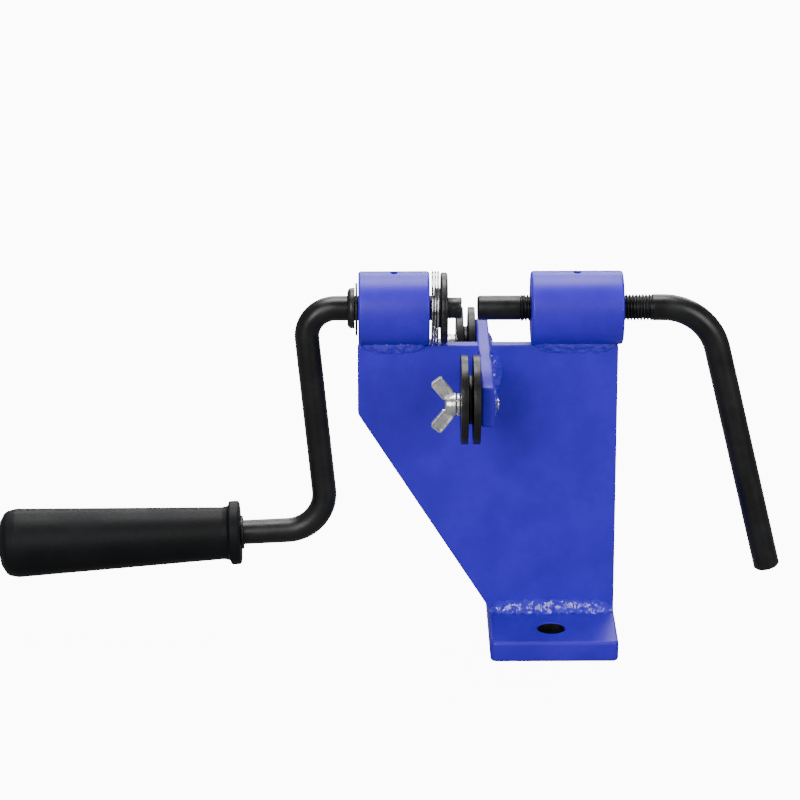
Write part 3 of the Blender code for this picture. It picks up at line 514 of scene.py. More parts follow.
def bar(name: str, path: np.ndarray, radius: float, chamfer: float, sides: int = 64,
        across: float = 0.0) -> Mesh:
    """Make a round bar along a path in a plane across Y.

    Args:
        name: the mesh's name.
        path: rows of (x, z).
        radius: the bar's radius.
        chamfer: how far both ends are chamfered.
        sides: points round the bar.
        across: the plane's Y.

    Returns:
        The bar's mesh.
    """
    ends = np.array([
        path[0] + chamfer * unit(path[1] - path[0]), path[-1] + chamfer * unit(path[-2] - path[-1]),
    ])
    spots = np.vstack([path[:1], ends[:1], path[1:-1], ends[1:], path[-1:]])
    radii = np.full(len(spots), radius)
    radii[[0, -1]] = radius - chamfer
    turns = np.linspace(0.0, FULL_TURN, sides, endpoint=False)
    rings = []
    for index, (spot, size) in enumerate(zip(spots, radii)):
        along = unit(spots[min(index + 1, len(spots) - 1)] - spots[max(index - 1, 0)])
        out = size * np.cos(turns)
        rings.append(np.column_stack([
            spot[0] - along[1] * out,
            across + size * np.sin(turns),
            spot[1] + along[0] * out,
        ]))
    return skin(name, rings)


def unit(vector: np.ndarray) -> np.ndarray:
    """Return a vector at length one."""
    return vector / np.linalg.norm(vector)


def turned(name: str, profile: Sequence[Point2], centre: Vector, looped: bool = False, steps: int = 96,
           axis: Vector = Vector((1.0, 0.0, 0.0))) -> Mesh:
    """Turn a profile about an axis.

    Args:
        name: the mesh's name.
        profile: (radius, distance along the axis) of each point.
        centre: where the axis starts.
        looped: whether the profile is closed, as a ring's is.
        steps: points round the axis.
        axis: the axis's direction.

    Returns:
        The turned mesh.
    """
    matrix = Matrix.Translation(centre) @ axis.to_track_quat("X", "Z").to_matrix().to_4x4()
    turns = np.linspace(0.0, FULL_TURN, steps, endpoint=False)
    rings = []
    for radius, along in profile:
        rings.append(np.column_stack([
            np.full(steps, along), radius * np.cos(turns), radius * np.sin(turns),
        ]))
    mesh = skin(name, rings, looped)
    mesh.transform(matrix)
    return mesh


def ring_section(outer: float, inner: float, low: float, high: float, edge: float) -> list[Point2]:
    """Return a ring's closed section with all four corners rounded."""
    corners = [(outer, low, edge), (outer, high, edge), (inner, high, edge), (inner, low, edge)]
    return outline(corners, math.radians(15.0))


def prism(name: str, points: Sequence[Point2], through: Through, low: float, high: float) -> Mesh:
    """Make a plate from a flat outline.

    Args:
        name: the mesh's name.
        points: the outline.
        through: the axis its thickness lies along.
        low: where the thickness starts.
        high: where it ends.

    Returns:
        The plate's mesh.
    """
    rings = [np.array([through.place(u, v, depth) for u, v in points]) for depth in (low, high)]
    return skin(name, rings)


class Blank:
    """A mesh on the bench: tools shape it, and taken_off() gives the finished mesh."""

    def __init__(self, name: str, mesh: Mesh) -> None:
        """Put a mesh on the bench."""
        self.item = bpy.data.objects.new(name, mesh)
        self.tools: list[Object] = []
        bpy.context.scene.collection.objects.link(self.item)

    def combined(self, mesh: Mesh, operation: str) -> "Blank":
        """Cut another mesh away, or join it on.

        Args:
            mesh: the other mesh.
            operation: DIFFERENCE or UNION.

        Returns:
            This blank.
        """
        tool = bpy.data.objects.new(f"{self.item.name}_tool", mesh)
        bpy.context.scene.collection.objects.link(tool)
        self.tools.append(tool)
        work = self.item.modifiers.new(operation.lower(), "BOOLEAN")
        work.operation = operation
        work.object = tool
        return self

    def rounded(self, width: float, segments: int = 4, angle: float = 30.0) -> "Blank":
        """Round the edges that are sharper than an angle in degrees."""
        work = self.item.modifiers.new("rounded_edges", "BEVEL")
        work.width = width
        work.segments = segments
        work.limit_method = "ANGLE"
        work.angle_limit = math.radians(angle)
        work.miter_outer = "MITER_ARC"
        return self

    def cast(self, voxel: float, passes: int) -> "Blank":
        """Remesh the blank and soften it, as a casting's corners are."""
        remesh = self.item.modifiers.new("casting", "REMESH")
        remesh.mode = "VOXEL"
        remesh.voxel_size = voxel
        smooth = self.item.modifiers.new("fillets", "SMOOTH")
        smooth.factor = 0.5
        smooth.iterations = passes
        return self

    def levelled(self) -> "Blank":
        """Let large faces keep flat shading beside rounded edges."""
        work = self.item.modifiers.new("flat_faces", "WEIGHTED_NORMAL")
        work.keep_sharp = True
        return self

    def worked(self, tree: NodeTree, **values) -> "Blank":
        """Add a Geometry Nodes tree with its inputs by name."""
        work = self.item.modifiers.new(tree.name, "NODES")
        work.node_group = tree
        for item in tree.interface.items_tree:
            if item.item_type == "SOCKET" and item.in_out == "INPUT" and item.name in values:
                work[item.identifier] = values[item.name]
        return self

    def taken_off(self, crease: float = CREASE) -> Mesh:
        """Apply every tool and clear the bench.

        Args:
            crease: edges sharper than this many degrees stay sharp.

        Returns:
            The finished plain mesh.
        """
        self.item.data.shade_smooth()
        self.item.data.set_sharp_from_angle(angle=math.radians(crease))
        depsgraph = bpy.context.evaluated_depsgraph_get()
        mesh = bpy.data.meshes.new_from_object(
            self.item.evaluated_get(depsgraph), preserve_all_data_layers=True, depsgraph=depsgraph
        )
        for thing in [self.item, *self.tools]:
            bpy.data.objects.remove(thing, do_unlink=True)
        return mesh


def show(name: str, mesh: Mesh, finish: Finish, body: str, *nodes: str,
         crease: float | None = CREASE) -> Object:
    """Add a finished piece.

    Args:
        name: the piece's name.
        mesh: its mesh, in place.
        finish: its finish.
        body: the body it moves with.
        *nodes: the nodes it stands for.
        crease: edges sharper than this many degrees stay sharp; None keeps the mesh's shading.

    Returns:
        The piece.
    """
    if crease is not None:
        mesh.shade_smooth()
        mesh.set_sharp_from_angle(angle=math.radians(crease))
    mesh.materials.clear()
    mesh.materials.append(finish.material())
    piece = bpy.data.objects.new(name, mesh)
    bpy.context.scene.collection.objects.link(piece)
    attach(piece, body)
    if nodes:
        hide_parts(*nodes)
    LOG.info("%s: %d faces on %s", name, len(mesh.polygons), body)
    return piece


def dress(node: str, finish: Finish) -> None:
    """Give a node that keeps its own shape a finish."""
    mesh = frame["nodes"][node].data
    mesh.materials.clear()
    mesh.materials.append(finish.material())
    LOG.info("%s: kept, dressed in %s", node, finish.slot.value)


class Extent:
    """A node's box, read as a round piece that lies along X."""

    def __init__(self, node: str) -> None:
        """Read the box of a node."""
        self.low, self.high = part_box(node)
        self.centre = (self.low + self.high) / 2
        self.radius = (self.high.z - self.low.z) / 2
        self.half_depth = (self.high.y - self.low.y) / 2
        self.length = self.high.x - self.low.x


def joint(name: str) -> dict:
    """Return a joint of the frame by its name."""
    return next(item for item in frame["joints"] if item["name"] == name)


# --- geometry node trees ----------------------------------------------------------------
def geometry_tree(name: str, inputs: dict[str, Default]) -> Callable[[Fill], TreeMaker]:
    """Turn a function that makes a shape into one that returns its Geometry Nodes tree.

    Args:
        name: the tree's name.
        inputs: default value of each named input between the geometry and the material.

    Returns:
        The decorator. The filling function gets the tree and the input sockets, and returns
        the shape; the tree is built at the first call and ends in Realize Instances and Set
        Material.
    """

    def wrap(fill: Fill) -> TreeMaker:
        """Take the filling function."""

        def made() -> NodeTree:
            """Return the tree, the same one at each call."""
            if name in bpy.data.node_groups:
                return bpy.data.node_groups[name]
            group = bpy.data.node_groups.new(name, "GeometryNodeTree")
            add_sockets(group, "INPUT", {"Geometry": "Geometry", **inputs, "Material": "Material"})
            add_sockets(group, "OUTPUT", {"Geometry": "Geometry"})
            tree = Tree(group)
            entry = tree.add("NodeGroupInput").outputs
            shape = fill(tree, {socket.name: socket for socket in entry if socket.name})
            real = tree.add("GeometryNodeRealizeInstances", {0: shape}).outputs[0]
            dressed = tree.add("GeometryNodeSetMaterial", {0: real, "Material": entry["Material"]})
            tree.add("NodeGroupOutput", {0: dressed.outputs[0]})
            return group

        return made

    return wrap


@geometry_tree("cut_thread", {
    "Centre": (0.0, 0.0, 0.0), "Pitch": 1.5 * MM, "Depth": 1.0 * MM, "Start": 0.0, "End": 0.1,
    "Run-out": 1.0 * MM, "Core": 1.0 * MM,
})
def thread_tree(tree: Tree, given: dict) -> NodeSocket:
    """Cut a right-hand thread into a bar along X: move its skin inward between a helix's crests."""
    spot = tree.vector("SUBTRACT", tree.add("GeometryNodeInputPosition").outputs[0], given["Centre"])
    parts = tree.add("ShaderNodeSeparateXYZ", {0: spot}).outputs
    turns = tree.math("DIVIDE", tree.math("ARCTAN2", parts["Z"], parts["Y"]), FULL_TURN)
    pitches = tree.math("DIVIDE", parts["X"], given["Pitch"])
    phase = tree.math("FRACT", tree.math("SUBTRACT", pitches, turns))
    flank = tree.math("PINGPONG", tree.math("MULTIPLY", phase, 2.0), 1.0)
    groove = tree.math("SUBTRACT", 1.0, tree.spread(flank, *THREAD_FLANK))
    begun = tree.math("SUBTRACT", parts["X"], given["Start"])
    left = tree.math("SUBTRACT", given["End"], parts["X"])
    inside = tree.math("DIVIDE", tree.math("MINIMUM", begun, left), given["Run-out"], clamp=True)
    cut = tree.math("MULTIPLY", tree.math("MULTIPLY", groove, inside), given["Depth"])
    flat = tree.add("ShaderNodeCombineXYZ", {"Y": parts["Y"], "Z": parts["Z"]}).outputs[0]
    inward = tree.scaled(tree.vector("NORMALIZE", flat), tree.math("MULTIPLY", cut, -1.0))
    on_side = tree.math("GREATER_THAN", tree.vector("LENGTH", flat), given["Core"])
    return tree.moved(given["Geometry"], inward, on_side)


@geometry_tree("weld_ripples", {
    "Along": (1.0, 0.0, 0.0), "Ripple Length": 1.3 * MM, "Ripple Height": 0.5 * MM,
    "Lump Scale": 230.0, "Lump Height": 2.0 * MM, "Wander": 4.0 * MM, "Seed Offset": (0.0, 0.0, 0.0),
})
def weld_tree(tree: Tree, given: dict) -> NodeSocket:
    """Move a bead's skin along its normal by wandering ripples and by lumps."""
    spot = tree.add("GeometryNodeInputPosition").outputs[0]
    normal = tree.add("GeometryNodeInputNormal").outputs[0]
    shifted = tree.vector("ADD", spot, given["Seed Offset"])
    lump = tree.math("SUBTRACT", tree.noise(shifted, given["Lump Scale"], detail=2.0), 0.5)
    run = tree.math("ADD", tree.vector("DOT_PRODUCT", spot, given["Along"]),
                    tree.math("MULTIPLY", lump, given["Wander"]))
    wave = tree.math("PINGPONG", tree.math("DIVIDE", run, given["Ripple Length"]), 1.0)
    ripple = tree.math("SUBTRACT", tree.math("POWER", wave, RIPPLE_BOW), 0.5)
    push = tree.math("ADD", tree.math("MULTIPLY", ripple, given["Ripple Height"]),
                     tree.math("MULTIPLY", lump, given["Lump Height"]))
    return tree.moved(given["Geometry"], tree.scaled(normal, push))


@geometry_tree("wound_coil", {
    "Start": (0.0, 0.0, 0.0), "Turns": 3.0, "Radius": 16.0 * MM, "Length": 4.0 * MM,
    "Wire Radius": 0.45 * MM,
})
def coil_tree(tree: Tree, given: dict) -> NodeSocket:
    """Sweep a wire along an open spiral and lay the spiral along X."""
    spiral = tree.add("GeometryNodeCurveSpiral", {
        "Resolution": COIL_STEPS, "Rotations": given["Turns"], "Start Radius": given["Radius"],
        "End Radius": given["Radius"], "Height": given["Length"],
    }).outputs[0]
    section = tree.add("GeometryNodeCurvePrimitiveCircle", {
        "Resolution": WIRE_SIDES, "Radius": given["Wire Radius"],
    }).outputs[0]
    wire = tree.add("GeometryNodeCurveToMesh", {
        "Curve": spiral, "Profile Curve": section, "Fill Caps": True,
    }).outputs[0]
    return tree.add("GeometryNodeTransform", {
        "Geometry": wire, "Translation": given["Start"], "Rotation": (0.0, math.pi / 2, 0.0),
    }).outputs[0]


# --- the stand --------------------------------------------------------------------------
@dataclass
class Stand:
    """Welded stand: foot, upright plate, two bosses, roller bar and their beads."""

    corner: float = 3.0 * MM
    plate_corner: float = 2.0 * MM
    plate_edge: float = 0.55 * MM
    foot_edge: float = 1.6 * MM
    bar_edge: float = 1.3 * MM
    boss_edge: float = 1.3 * MM
    bore_edge: float = 0.6 * MM
    bolt_hole: float = 13.0 * MM
    bolt_shift: float = -0.9 * MM
    bolt_offset: float = 23.5 * MM
    oil_hole: float = 3.6 * MM
    plate_side: float = 33.0 * MM
    plate_foot_inset: float = 1.8 * MM
    fuse: float = 0.7 * MM
    clearance: float = 0.3 * MM
    hole_edge: float = 0.5 * MM
    # Wall of the dark sleeve that paints shade inside each bolt hole.
    bore_skin: float = 0.2 * MM
    foot_steps: int = 7
    bead_overrun: float = 0.1 * MM
    bead_step: float = 0.28 * MM
    bead_steps_round: int = 22
    bead_nose: float = 0.03
    foot_bead_share: float = 0.9
    boss_bead_share: float = 0.85
    boss_bead_swell: float = 1.5
    boss_bead_drop: float = 0.62
    boss_sides: int = 160
    hole_sides: int = 32

    def build(self) -> None:
        """Make every piece of the stand."""
        self.foot_plate()
        self.web_plate()
        self.housing("spindle")
        self.housing("screw")
        self.roller_bar()
        for side in Side:
            self.foot_bead(side)
            self.boss_bead("spindle", side)
            self.boss_bead("screw", side)
            self.bar_bead(side)
        dress("spindle_bush", BRONZE)

    def foot_plate(self) -> None:
        """Foot with rounded edges and two bolt holes, each lined with a dark sleeve of painted shade.
        """
        low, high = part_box("base_plate")
        edge = self.foot_edge
        lows = [(low.z + edge * (1 - math.sin(turn)), edge * (1 - math.cos(turn)))
                for turn in np.linspace(math.pi / 2, 0.0, self.foot_steps)]
        levels = lows + [(low.z + high.z - level, inset) for level, inset in reversed(lows)]
        rings = []
        for level, inset in levels:
            left, right = low.x + inset, high.x - inset
            near, far = low.y + inset, high.y - inset
            corners = [(left, near), (right, near), (right, far), (left, far)]
            points = outline([(x, y, self.corner - inset) for x, y in corners])
            rings.append(np.array([(x, y, level) for x, y in points]))
        blank = Blank("foot", skin("foot", rings))
        for side in Side:
            place = Vector((self.bolt_shift, side.value * self.bolt_offset, low.z))
            depth = high.z - low.z
            radius = self.bolt_hole / 2
            wide = radius + self.hole_edge
            straight = depth - self.hole_edge
            profile = [(0.0, -depth), (radius, -depth), (radius, straight), (wide, depth)]
            profile += [(wide, 2 * depth), (0.0, 2 * depth)]
            blank.combined(turned("bolt_hole", profile, place, axis=UP), "DIFFERENCE")
            # Dark sleeve in each bolt hole: painted shade, a black sheet standing for the shade inside
            # the hole.
            shade_liner_edge = self.bore_skin / 4
            shade_liner_section = ring_section(radius, radius - self.bore_skin, 0.0, straight, shade_liner_edge)
            name = f"bolt_bore_{side.word}"
            show(name, turned(name, shade_liner_section, place, looped=True, axis=UP), OXIDE_ROLLER, "stand")
        show("foot_plate", blank.taken_off(), ENAMEL, "stand", "base_plate")

    def web_plate(self) -> None:
        """Upright plate with its slanted edge, notched for the roller bar."""
        low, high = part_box("upright_plate")
        bar_low, bar_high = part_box("roller_bracket")
        foot_low, foot_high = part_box("base_plate")
        bottom = foot_high.z - self.fuse
        slant_foot = foot_low.x + self.plate_foot_inset
        points = outline([
            (high.x, bottom, 0.0),
            (high.x, high.z, self.plate_corner / 2),
            (bar_high.x, high.z, 0.0),
            (bar_high.x, bar_low.z, 0.0),
            (bar_low.x, bar_low.z, 0.0),
            (bar_low.x, high.z, 0.0),
            (low.x, high.z, self.plate_corner),
            (low.x, high.z - self.plate_side, 3 * self.plate_corner),
            (slant_foot, bottom, 0.0),
        ])
        blank = Blank("web", prism("web", points, Through.Y, low.y, high.y))
        mesh = blank.rounded(self.plate_edge, 4).levelled().taken_off()
        show("web_plate", mesh, ENAMEL, "stand", "upright_plate", crease=None)

    def housing(self, name: str) -> None:
        """Round boss with softened rims and an oil hole.

        Args:
            name: spindle or screw.
        """
        boss = Extent(f"{name}_boss")
        bore = self.bore_of(name)
        radius, length = boss.radius, boss.length
        section = [(bore, self.bore_edge, 0.0), (bore + self.bore_edge, 0.0, 0.0)]
        section += [(radius, 0.0, self.boss_edge), (radius, length, self.boss_edge)]
        section += [(bore + self.bore_edge, length, 0.0), (bore, length - self.bore_edge, 0.0)]
        start = Vector((boss.low.x, 0.0, boss.centre.z))
        body = turned(f"{name}_housing", outline(section), start, looped=True, steps=self.boss_sides)
        blank = Blank(f"{name}_housing", body)
        half = self.oil_hole / 2
        wide = half + self.bore_edge
        profile = [(0.0, 0.0), (half, 0.0), (half, radius), (wide, radius + self.bore_edge)]
        profile += [(wide, 2 * radius), (0.0, 2 * radius)]
        top = Vector((boss.centre.x, 0.0, start.z + self.bore_edge / 3))
        hole = turned(f"{name}_oil_hole", profile, top, axis=UP, steps=self.hole_sides)
        mesh = blank.combined(hole, "DIFFERENCE").taken_off()
        show(f"{name}_housing", mesh, ENAMEL, "stand", f"{name}_boss")

    def bore_of(self, name: str) -> float:
        """Return a boss's bore radius: round the bush, or round the feed screw."""
        inside = Extent("spindle_bush" if name == "spindle" else "feed_screw")
        return inside.half_depth + self.clearance

    def roller_bar(self) -> None:
        """Cross bar with softened edges, through the plate's notch."""
        low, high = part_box("roller_bracket")
        corners = [(low.y, low.z), (high.y, low.z), (high.y, high.z), (low.y, high.z)]
        points = outline([(y, z, 0.0) for y, z in corners])
        blank = Blank("bar", prism("bar", points, Through.X, low.x, high.x))
        mesh = blank.rounded(self.bar_edge, 5).levelled().taken_off()
        show("roller_bar", mesh, ENAMEL, "stand", "roller_bracket", crease=None)

    def bead(self, name: str, start: Vector, end: Vector, out: Vector, up: Vector, *nodes: str,
             swell: float = 1.25, **ripples) -> None:
        """Lay one weld bead along an inside corner.

        Args:
            name: the bead's name.
            start: where it starts, on the corner.
            end: where it ends.
            out: its leg on one wall.
            up: its leg on the other wall.
            *nodes: the nodes it stands for.
            swell: 1 is a full round bead, 2 a flat one.
            **ripples: inputs of the ripple tree that differ from its defaults.
        """
        run = end - start
        steps = max(8, round(run.length / self.bead_step))
        turns = np.linspace(0.0, math.pi / 2, self.bead_steps_round)
        into = -(out.normalized() + up.normalized()) * self.fuse
        rings = []
        for step in range(steps + 1):
            share = step / steps
            near_end = min(share, 1 - share) * run.length / (out.length + up.length)
            size = math.sqrt(1 - (1 - min(1.0, near_end + self.bead_nose)) ** 2)
            root = start + run * share
            face = [root + (out * math.cos(turn) ** swell + up * math.sin(turn) ** swell) * size
                    for turn in turns]
            legs = [root + up * size + into, root + into, root + out * size + into]
            rings.append(np.array([tuple(spot) for spot in face + legs]))
        blank = Blank(name, skin(name, rings))
        tree = weld_tree()
        blank.worked(tree, Material=ENAMEL_BEAD.material(), Along=run.normalized(),
                     **{"Seed Offset": tuple(start * 3)}, **ripples)
        show(name, blank.taken_off(BEAD_CREASE), ENAMEL_BEAD, "stand", *nodes, crease=BEAD_CREASE)

    def foot_bead(self, side: Side) -> None:
        """Bead between the foot and one face of the plate."""
        node = f"foot_weld_{side.word}"
        low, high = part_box(node)
        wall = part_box("upright_plate")[0 if side is Side.FRONT else 1].y
        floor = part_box("base_plate")[1].z
        reach = side.value * (high.y - low.y) * self.foot_bead_share
        start = Vector((low.x - self.bead_overrun, wall, floor))
        end = Vector((high.x + self.bead_overrun, wall, floor))
        ripples = {"Ripple Length": 2.3 * MM, "Ripple Height": 0.70 * MM, "Lump Height": 3.4 * MM}
        self.bead(f"foot_bead_{side.word}", start, end, Vector((0.0, reach, 0.0)),
                  Vector((0.0, 0.0, high.z - low.z)) * self.foot_bead_share, node, **ripples)

    def boss_bead(self, name: str, side: Side) -> None:
        """Bead between one face of the plate and the underside of a boss."""
        node = f"{name}_boss_weld_{side.word}"
        low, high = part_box(node)
        boss = Extent(f"{name}_boss")
        radius = boss.radius
        wall = Extent("upright_plate").half_depth
        top = boss.centre.z - math.sqrt(radius ** 2 - wall ** 2)
        reach = (high.y - low.y) * self.boss_bead_share
        slope = math.asin(wall / radius) + reach / radius / 2
        out = Vector((0.0, side.value * reach * math.cos(slope), reach * math.sin(slope)))
        start = Vector((low.x, side.value * wall, top))
        end = Vector((high.x, side.value * wall, top))
        down = Vector((0.0, 0.0, -(high.z - low.z) * self.boss_bead_drop))
        ripples = {"Ripple Length": 2.6 * MM, "Ripple Height": 0.35 * MM, "Lump Height": 2.2 * MM}
        self.bead(f"{name}_boss_bead_{side.word}", start, end, out, down, node,
                  swell=self.boss_bead_swell, **ripples)

    def bar_bead(self, side: Side) -> None:
        """Upright bead between the roller bar's right face and the plate."""
        node = f"bracket_weld_{side.word}"
        low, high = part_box(node)
        bar_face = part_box("roller_bracket")[1].x
        wall = side.value * Extent("upright_plate").half_depth
        start = Vector((bar_face, wall, low.z))
        end = Vector((bar_face, wall, high.z))
        leg = high.x - low.x
        ripples = {"Ripple Length": 1.9 * MM, "Ripple Height": 0.60 * MM, "Lump Height": 2.8 * MM}
        self.bead(f"bar_bead_{side.word}", start, end, Vector((leg, 0.0, 0.0)),
                  Vector((0.0, side.value * leg, 0.0)), node, **ripples)


# --- crank, spindle and head ------------------------------------------------------------
@dataclass
class Crank:
    """One bent bar with the spinner head at one end and the grip at the other."""

    bend_to_boss: float = 24.8 * MM
    top_bend: float = 13.2 * MM
    foot_bend: float = 18.0 * MM
    drop: float = 107.1 * MM
    lean: float = 10.6 * MM
    rod_in_grip: float = 87.2 * MM
    slope: float = math.radians(2.7)
    grip_start: float = 40.7 * MM
    bend_detail: float = 2.5 * MM
    chamfer: float = 0.5 * MM
    disc: float = 3.2 * MM
    hub: float = 9.0 * MM
    hub_edge: float = 0.5 * MM
    hub_root: float = 0.4 * MM
    disc_edge: float = 1.0 * MM
    disc_fit: float = 0.15 * MM
    disc_sides: int = 128
    dish: float = 0.6 * MM
    dish_share: float = 0.55
    bit_chamfer: float = 0.4 * MM
    bit_edge: float = 0.15 * MM
    slot_depth: float = 1.2 * MM
    slot_low: float = 1.6 * MM
    slot_high: float = 2.9 * MM
    washer_bore: float = 6.5 * MM
    washer_edge: float = 0.25 * MM
    collar_fit: float = 0.1 * MM
    collar_dome: float = 2.2 * MM
    grip_washer_radius: float = 7.75 * MM
    grip_washer_width: float = 1.0 * MM
    grip_washer_gap: float = 0.3 * MM
    grip_washer_edge: float = 0.2 * MM
    grip_washer_fit: float = 0.2 * MM

    def build(self) -> None:
        """Make the bar and everything that is fixed on it."""
        self.radius = Extent("crank_arm").half_depth
        self.centre_z = Extent("spindle_boss").centre.z
        self.crank_bar()
        self.head()
        self.bit()
        self.stops()
        self.grip_washer()
        dress("grip_retaining_ring", SPRING_WIRE)

    def crank_bar(self) -> None:
        """Bar bent twice: spindle, arm and the rod inside the grip."""
        boss_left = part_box("spindle_boss")[0].x
        bend_x = boss_left - self.bend_to_boss
        foot = (bend_x + self.lean, self.centre_z - self.drop)
        length = self.grip_start + self.rod_in_grip
        tip = (foot[0] - length * math.cos(self.slope), foot[1] - length * math.sin(self.slope))
        corners = [
            (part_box("crank_arm")[1].x, self.centre_z, 0.0),
            (bend_x, self.centre_z, self.top_bend),
            (*foot, self.foot_bend),
            (*tip, 0.0),
        ]
        mesh = bar("crank_bar", route(corners, self.bend_detail), self.radius, self.chamfer)
        show("crank_bar", mesh, OXIDE_BAR, "crank", "crank_arm")

    def head(self) -> None:
        """Disc with a rounded rim and a hub behind it."""
        head = Extent("spinner_head")
        back = head.length - self.disc
        inside = head.length - self.disc / 2
        bore = self.radius + self.disc_fit
        section = outline([
            (bore, 0.0, 0.0), (self.hub, 0.0, self.hub_edge), (self.hub, back, self.hub_root),
            (head.radius, back, self.disc_edge), (head.radius, head.length, self.disc_edge),
            (0.0, head.length, 0.0), (0.0, inside, 0.0), (bore, inside, 0.0),
        ])
        place = Vector((head.low.x, 0.0, self.centre_z))
        mesh = turned("spinner_disc", section, place, looped=True, steps=self.disc_sides)
        show("spinner_disc", mesh, OXIDE, "crank", "spinner_head")

    def bit(self) -> None:
        """Peening bit with a dished end and a slot across it."""
        tip = Extent("peening_bit")
        radius, length = tip.radius, tip.length
        profile = [(0.0, 0.0), (radius, 0.0), (radius, length - self.bit_chamfer)]
        profile += [(radius - self.bit_chamfer, length), (radius * self.dish_share, length)]
        profile += [(0.0, length - self.dish)]
        start = Vector((tip.low.x, 0.0, self.centre_z))
        blank = Blank("bit", turned("bit", profile, start, steps=64))
        left, right = tip.high.x - self.slot_depth, tip.high.x + MM
        lower, upper = self.centre_z + self.slot_low, self.centre_z + self.slot_high
        slot = [(left, lower), (right, lower), (right, upper), (left, upper)]
        blank.combined(prism("slot", slot, Through.Y, -radius * 2, radius * 2), "DIFFERENCE")
        mesh = blank.rounded(self.bit_edge, 2).taken_off()
        show("bit", mesh, OXIDE, "crank", "peening_bit")

    def stops(self) -> None:
        """Loose washer with stamped edges, and the domed collar."""
        washer = Extent("spindle_washer")
        section = ring_section(washer.radius, self.washer_bore, 0.0, washer.length, self.washer_edge)
        place = Vector((washer.low.x, 0.0, washer.centre.z))
        mesh = turned("stop_washer", section, place, looped=True)
        show("stop_washer", mesh, OXIDE, "spindle_stop", "spindle_washer")
        collar = Extent("spindle_collar")
        bore = self.radius + self.collar_fit
        section = outline([
            (bore, collar.length, 0.0), (bore, 0.0, 0.4 * MM),
            (collar.radius, 0.0, self.collar_dome), (collar.radius, collar.length, 0.3 * MM),
        ])
        place = Vector((collar.low.x, 0.0, self.centre_z))
        mesh = turned("stop_collar", section, place, looped=True)
        show("stop_collar", mesh, OXIDE, "crank", "spindle_collar")

    def grip_washer(self) -> None:
        """Washer between the bar's bend and the grip's collar."""
        turn = joint("grip_turn")
        axis = Vector(turn["axis"]).normalized()
        width = self.grip_washer_width
        start = Vector(turn["pos_m"]) - axis * (width + self.grip_washer_gap)
        bore = self.radius + self.grip_washer_fit
        section = ring_section(self.grip_washer_radius, bore, 0.0, width, self.grip_washer_edge)
        mesh = turned("handle_washer", section, start, looped=True, axis=axis)
        show("handle_washer", mesh, OXIDE, "crank", "grip_washer")


@dataclass
class Grip:
    """Turning handle of moulded plastic with a collar, a neck and a domed end."""

    length: float = 111.7 * MM
    collar: float = 14.8 * MM
    collar_width: float = 5.0 * MM
    neck: float = 12.1 * MM
    fat: float = 16.0 * MM
    dome: float = 8.0 * MM
    bore: float = 5.95 * MM
    wall: float = 13.0 * MM
    sides: int = 128

    def build(self) -> None:
        """Turn the handle about its own axis."""
        turn = joint("grip_turn")
        section = outline([
            (self.bore, 0.0, 0.4 * MM),
            (self.collar, 0.0, 1.2 * MM),
            (self.collar, self.collar_width, 1.2 * MM),
            (self.neck + 0.6 * MM, self.collar_width + 0.3 * MM, 1.2 * MM),
            (self.neck, self.collar_width + 3.0 * MM, 4.0 * MM),
            (self.fat, self.length - self.dome, 6.0 * MM),
            (self.fat * 0.93, self.length - self.dome * 0.38, 4.0 * MM),
            (self.fat * 0.62, self.length - 0.2 * MM, 5.0 * MM),
            (0.0, self.length, 0.0),
            (0.0, self.length - self.wall, 0.0),
            (self.bore, self.length - self.wall, 0.0),
        ], math.radians(6.0))
        axis = Vector(turn["axis"]).normalized()
        place = Vector(turn["pos_m"])
        mesh = turned("hand_grip", section, place, looped=True, steps=self.sides, axis=axis)
        show("hand_grip", mesh, GRIP, "grip", "crank_grip", crease=THREAD_CREASE)


@dataclass
class ReturnSpring:
    """Open coil of thin wire between the boss and the head."""

    wire: float = 0.9 * MM
    turns: float = 2.75
    keep: float = 0.64

    def build(self) -> None:
        """Wind the coil and give the piece a mesh of its own."""
        low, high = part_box("return_spring")
        boss = Extent("spindle_boss")
        radius = (boss.high.z - boss.low.z - self.wire) / 2
        centre_z = boss.centre.z
        blank = Blank("coil", bpy.data.meshes.new("coil"))
        blank.worked(coil_tree(), Material=SPRING_WIRE.material(), **{
            "Start": (low.x + self.wire / 2, 0.0, centre_z), "Turns": self.turns, "Radius": radius,
            "Length": high.x - low.x - self.wire, "Wire Radius": self.wire / 2,
        })
        mesh = blank.taken_off(BEAD_CREASE)
        piece = show("head_spring", mesh, SPRING_WIRE, "stand", "return_spring", crease=BEAD_CREASE)
        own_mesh(piece)


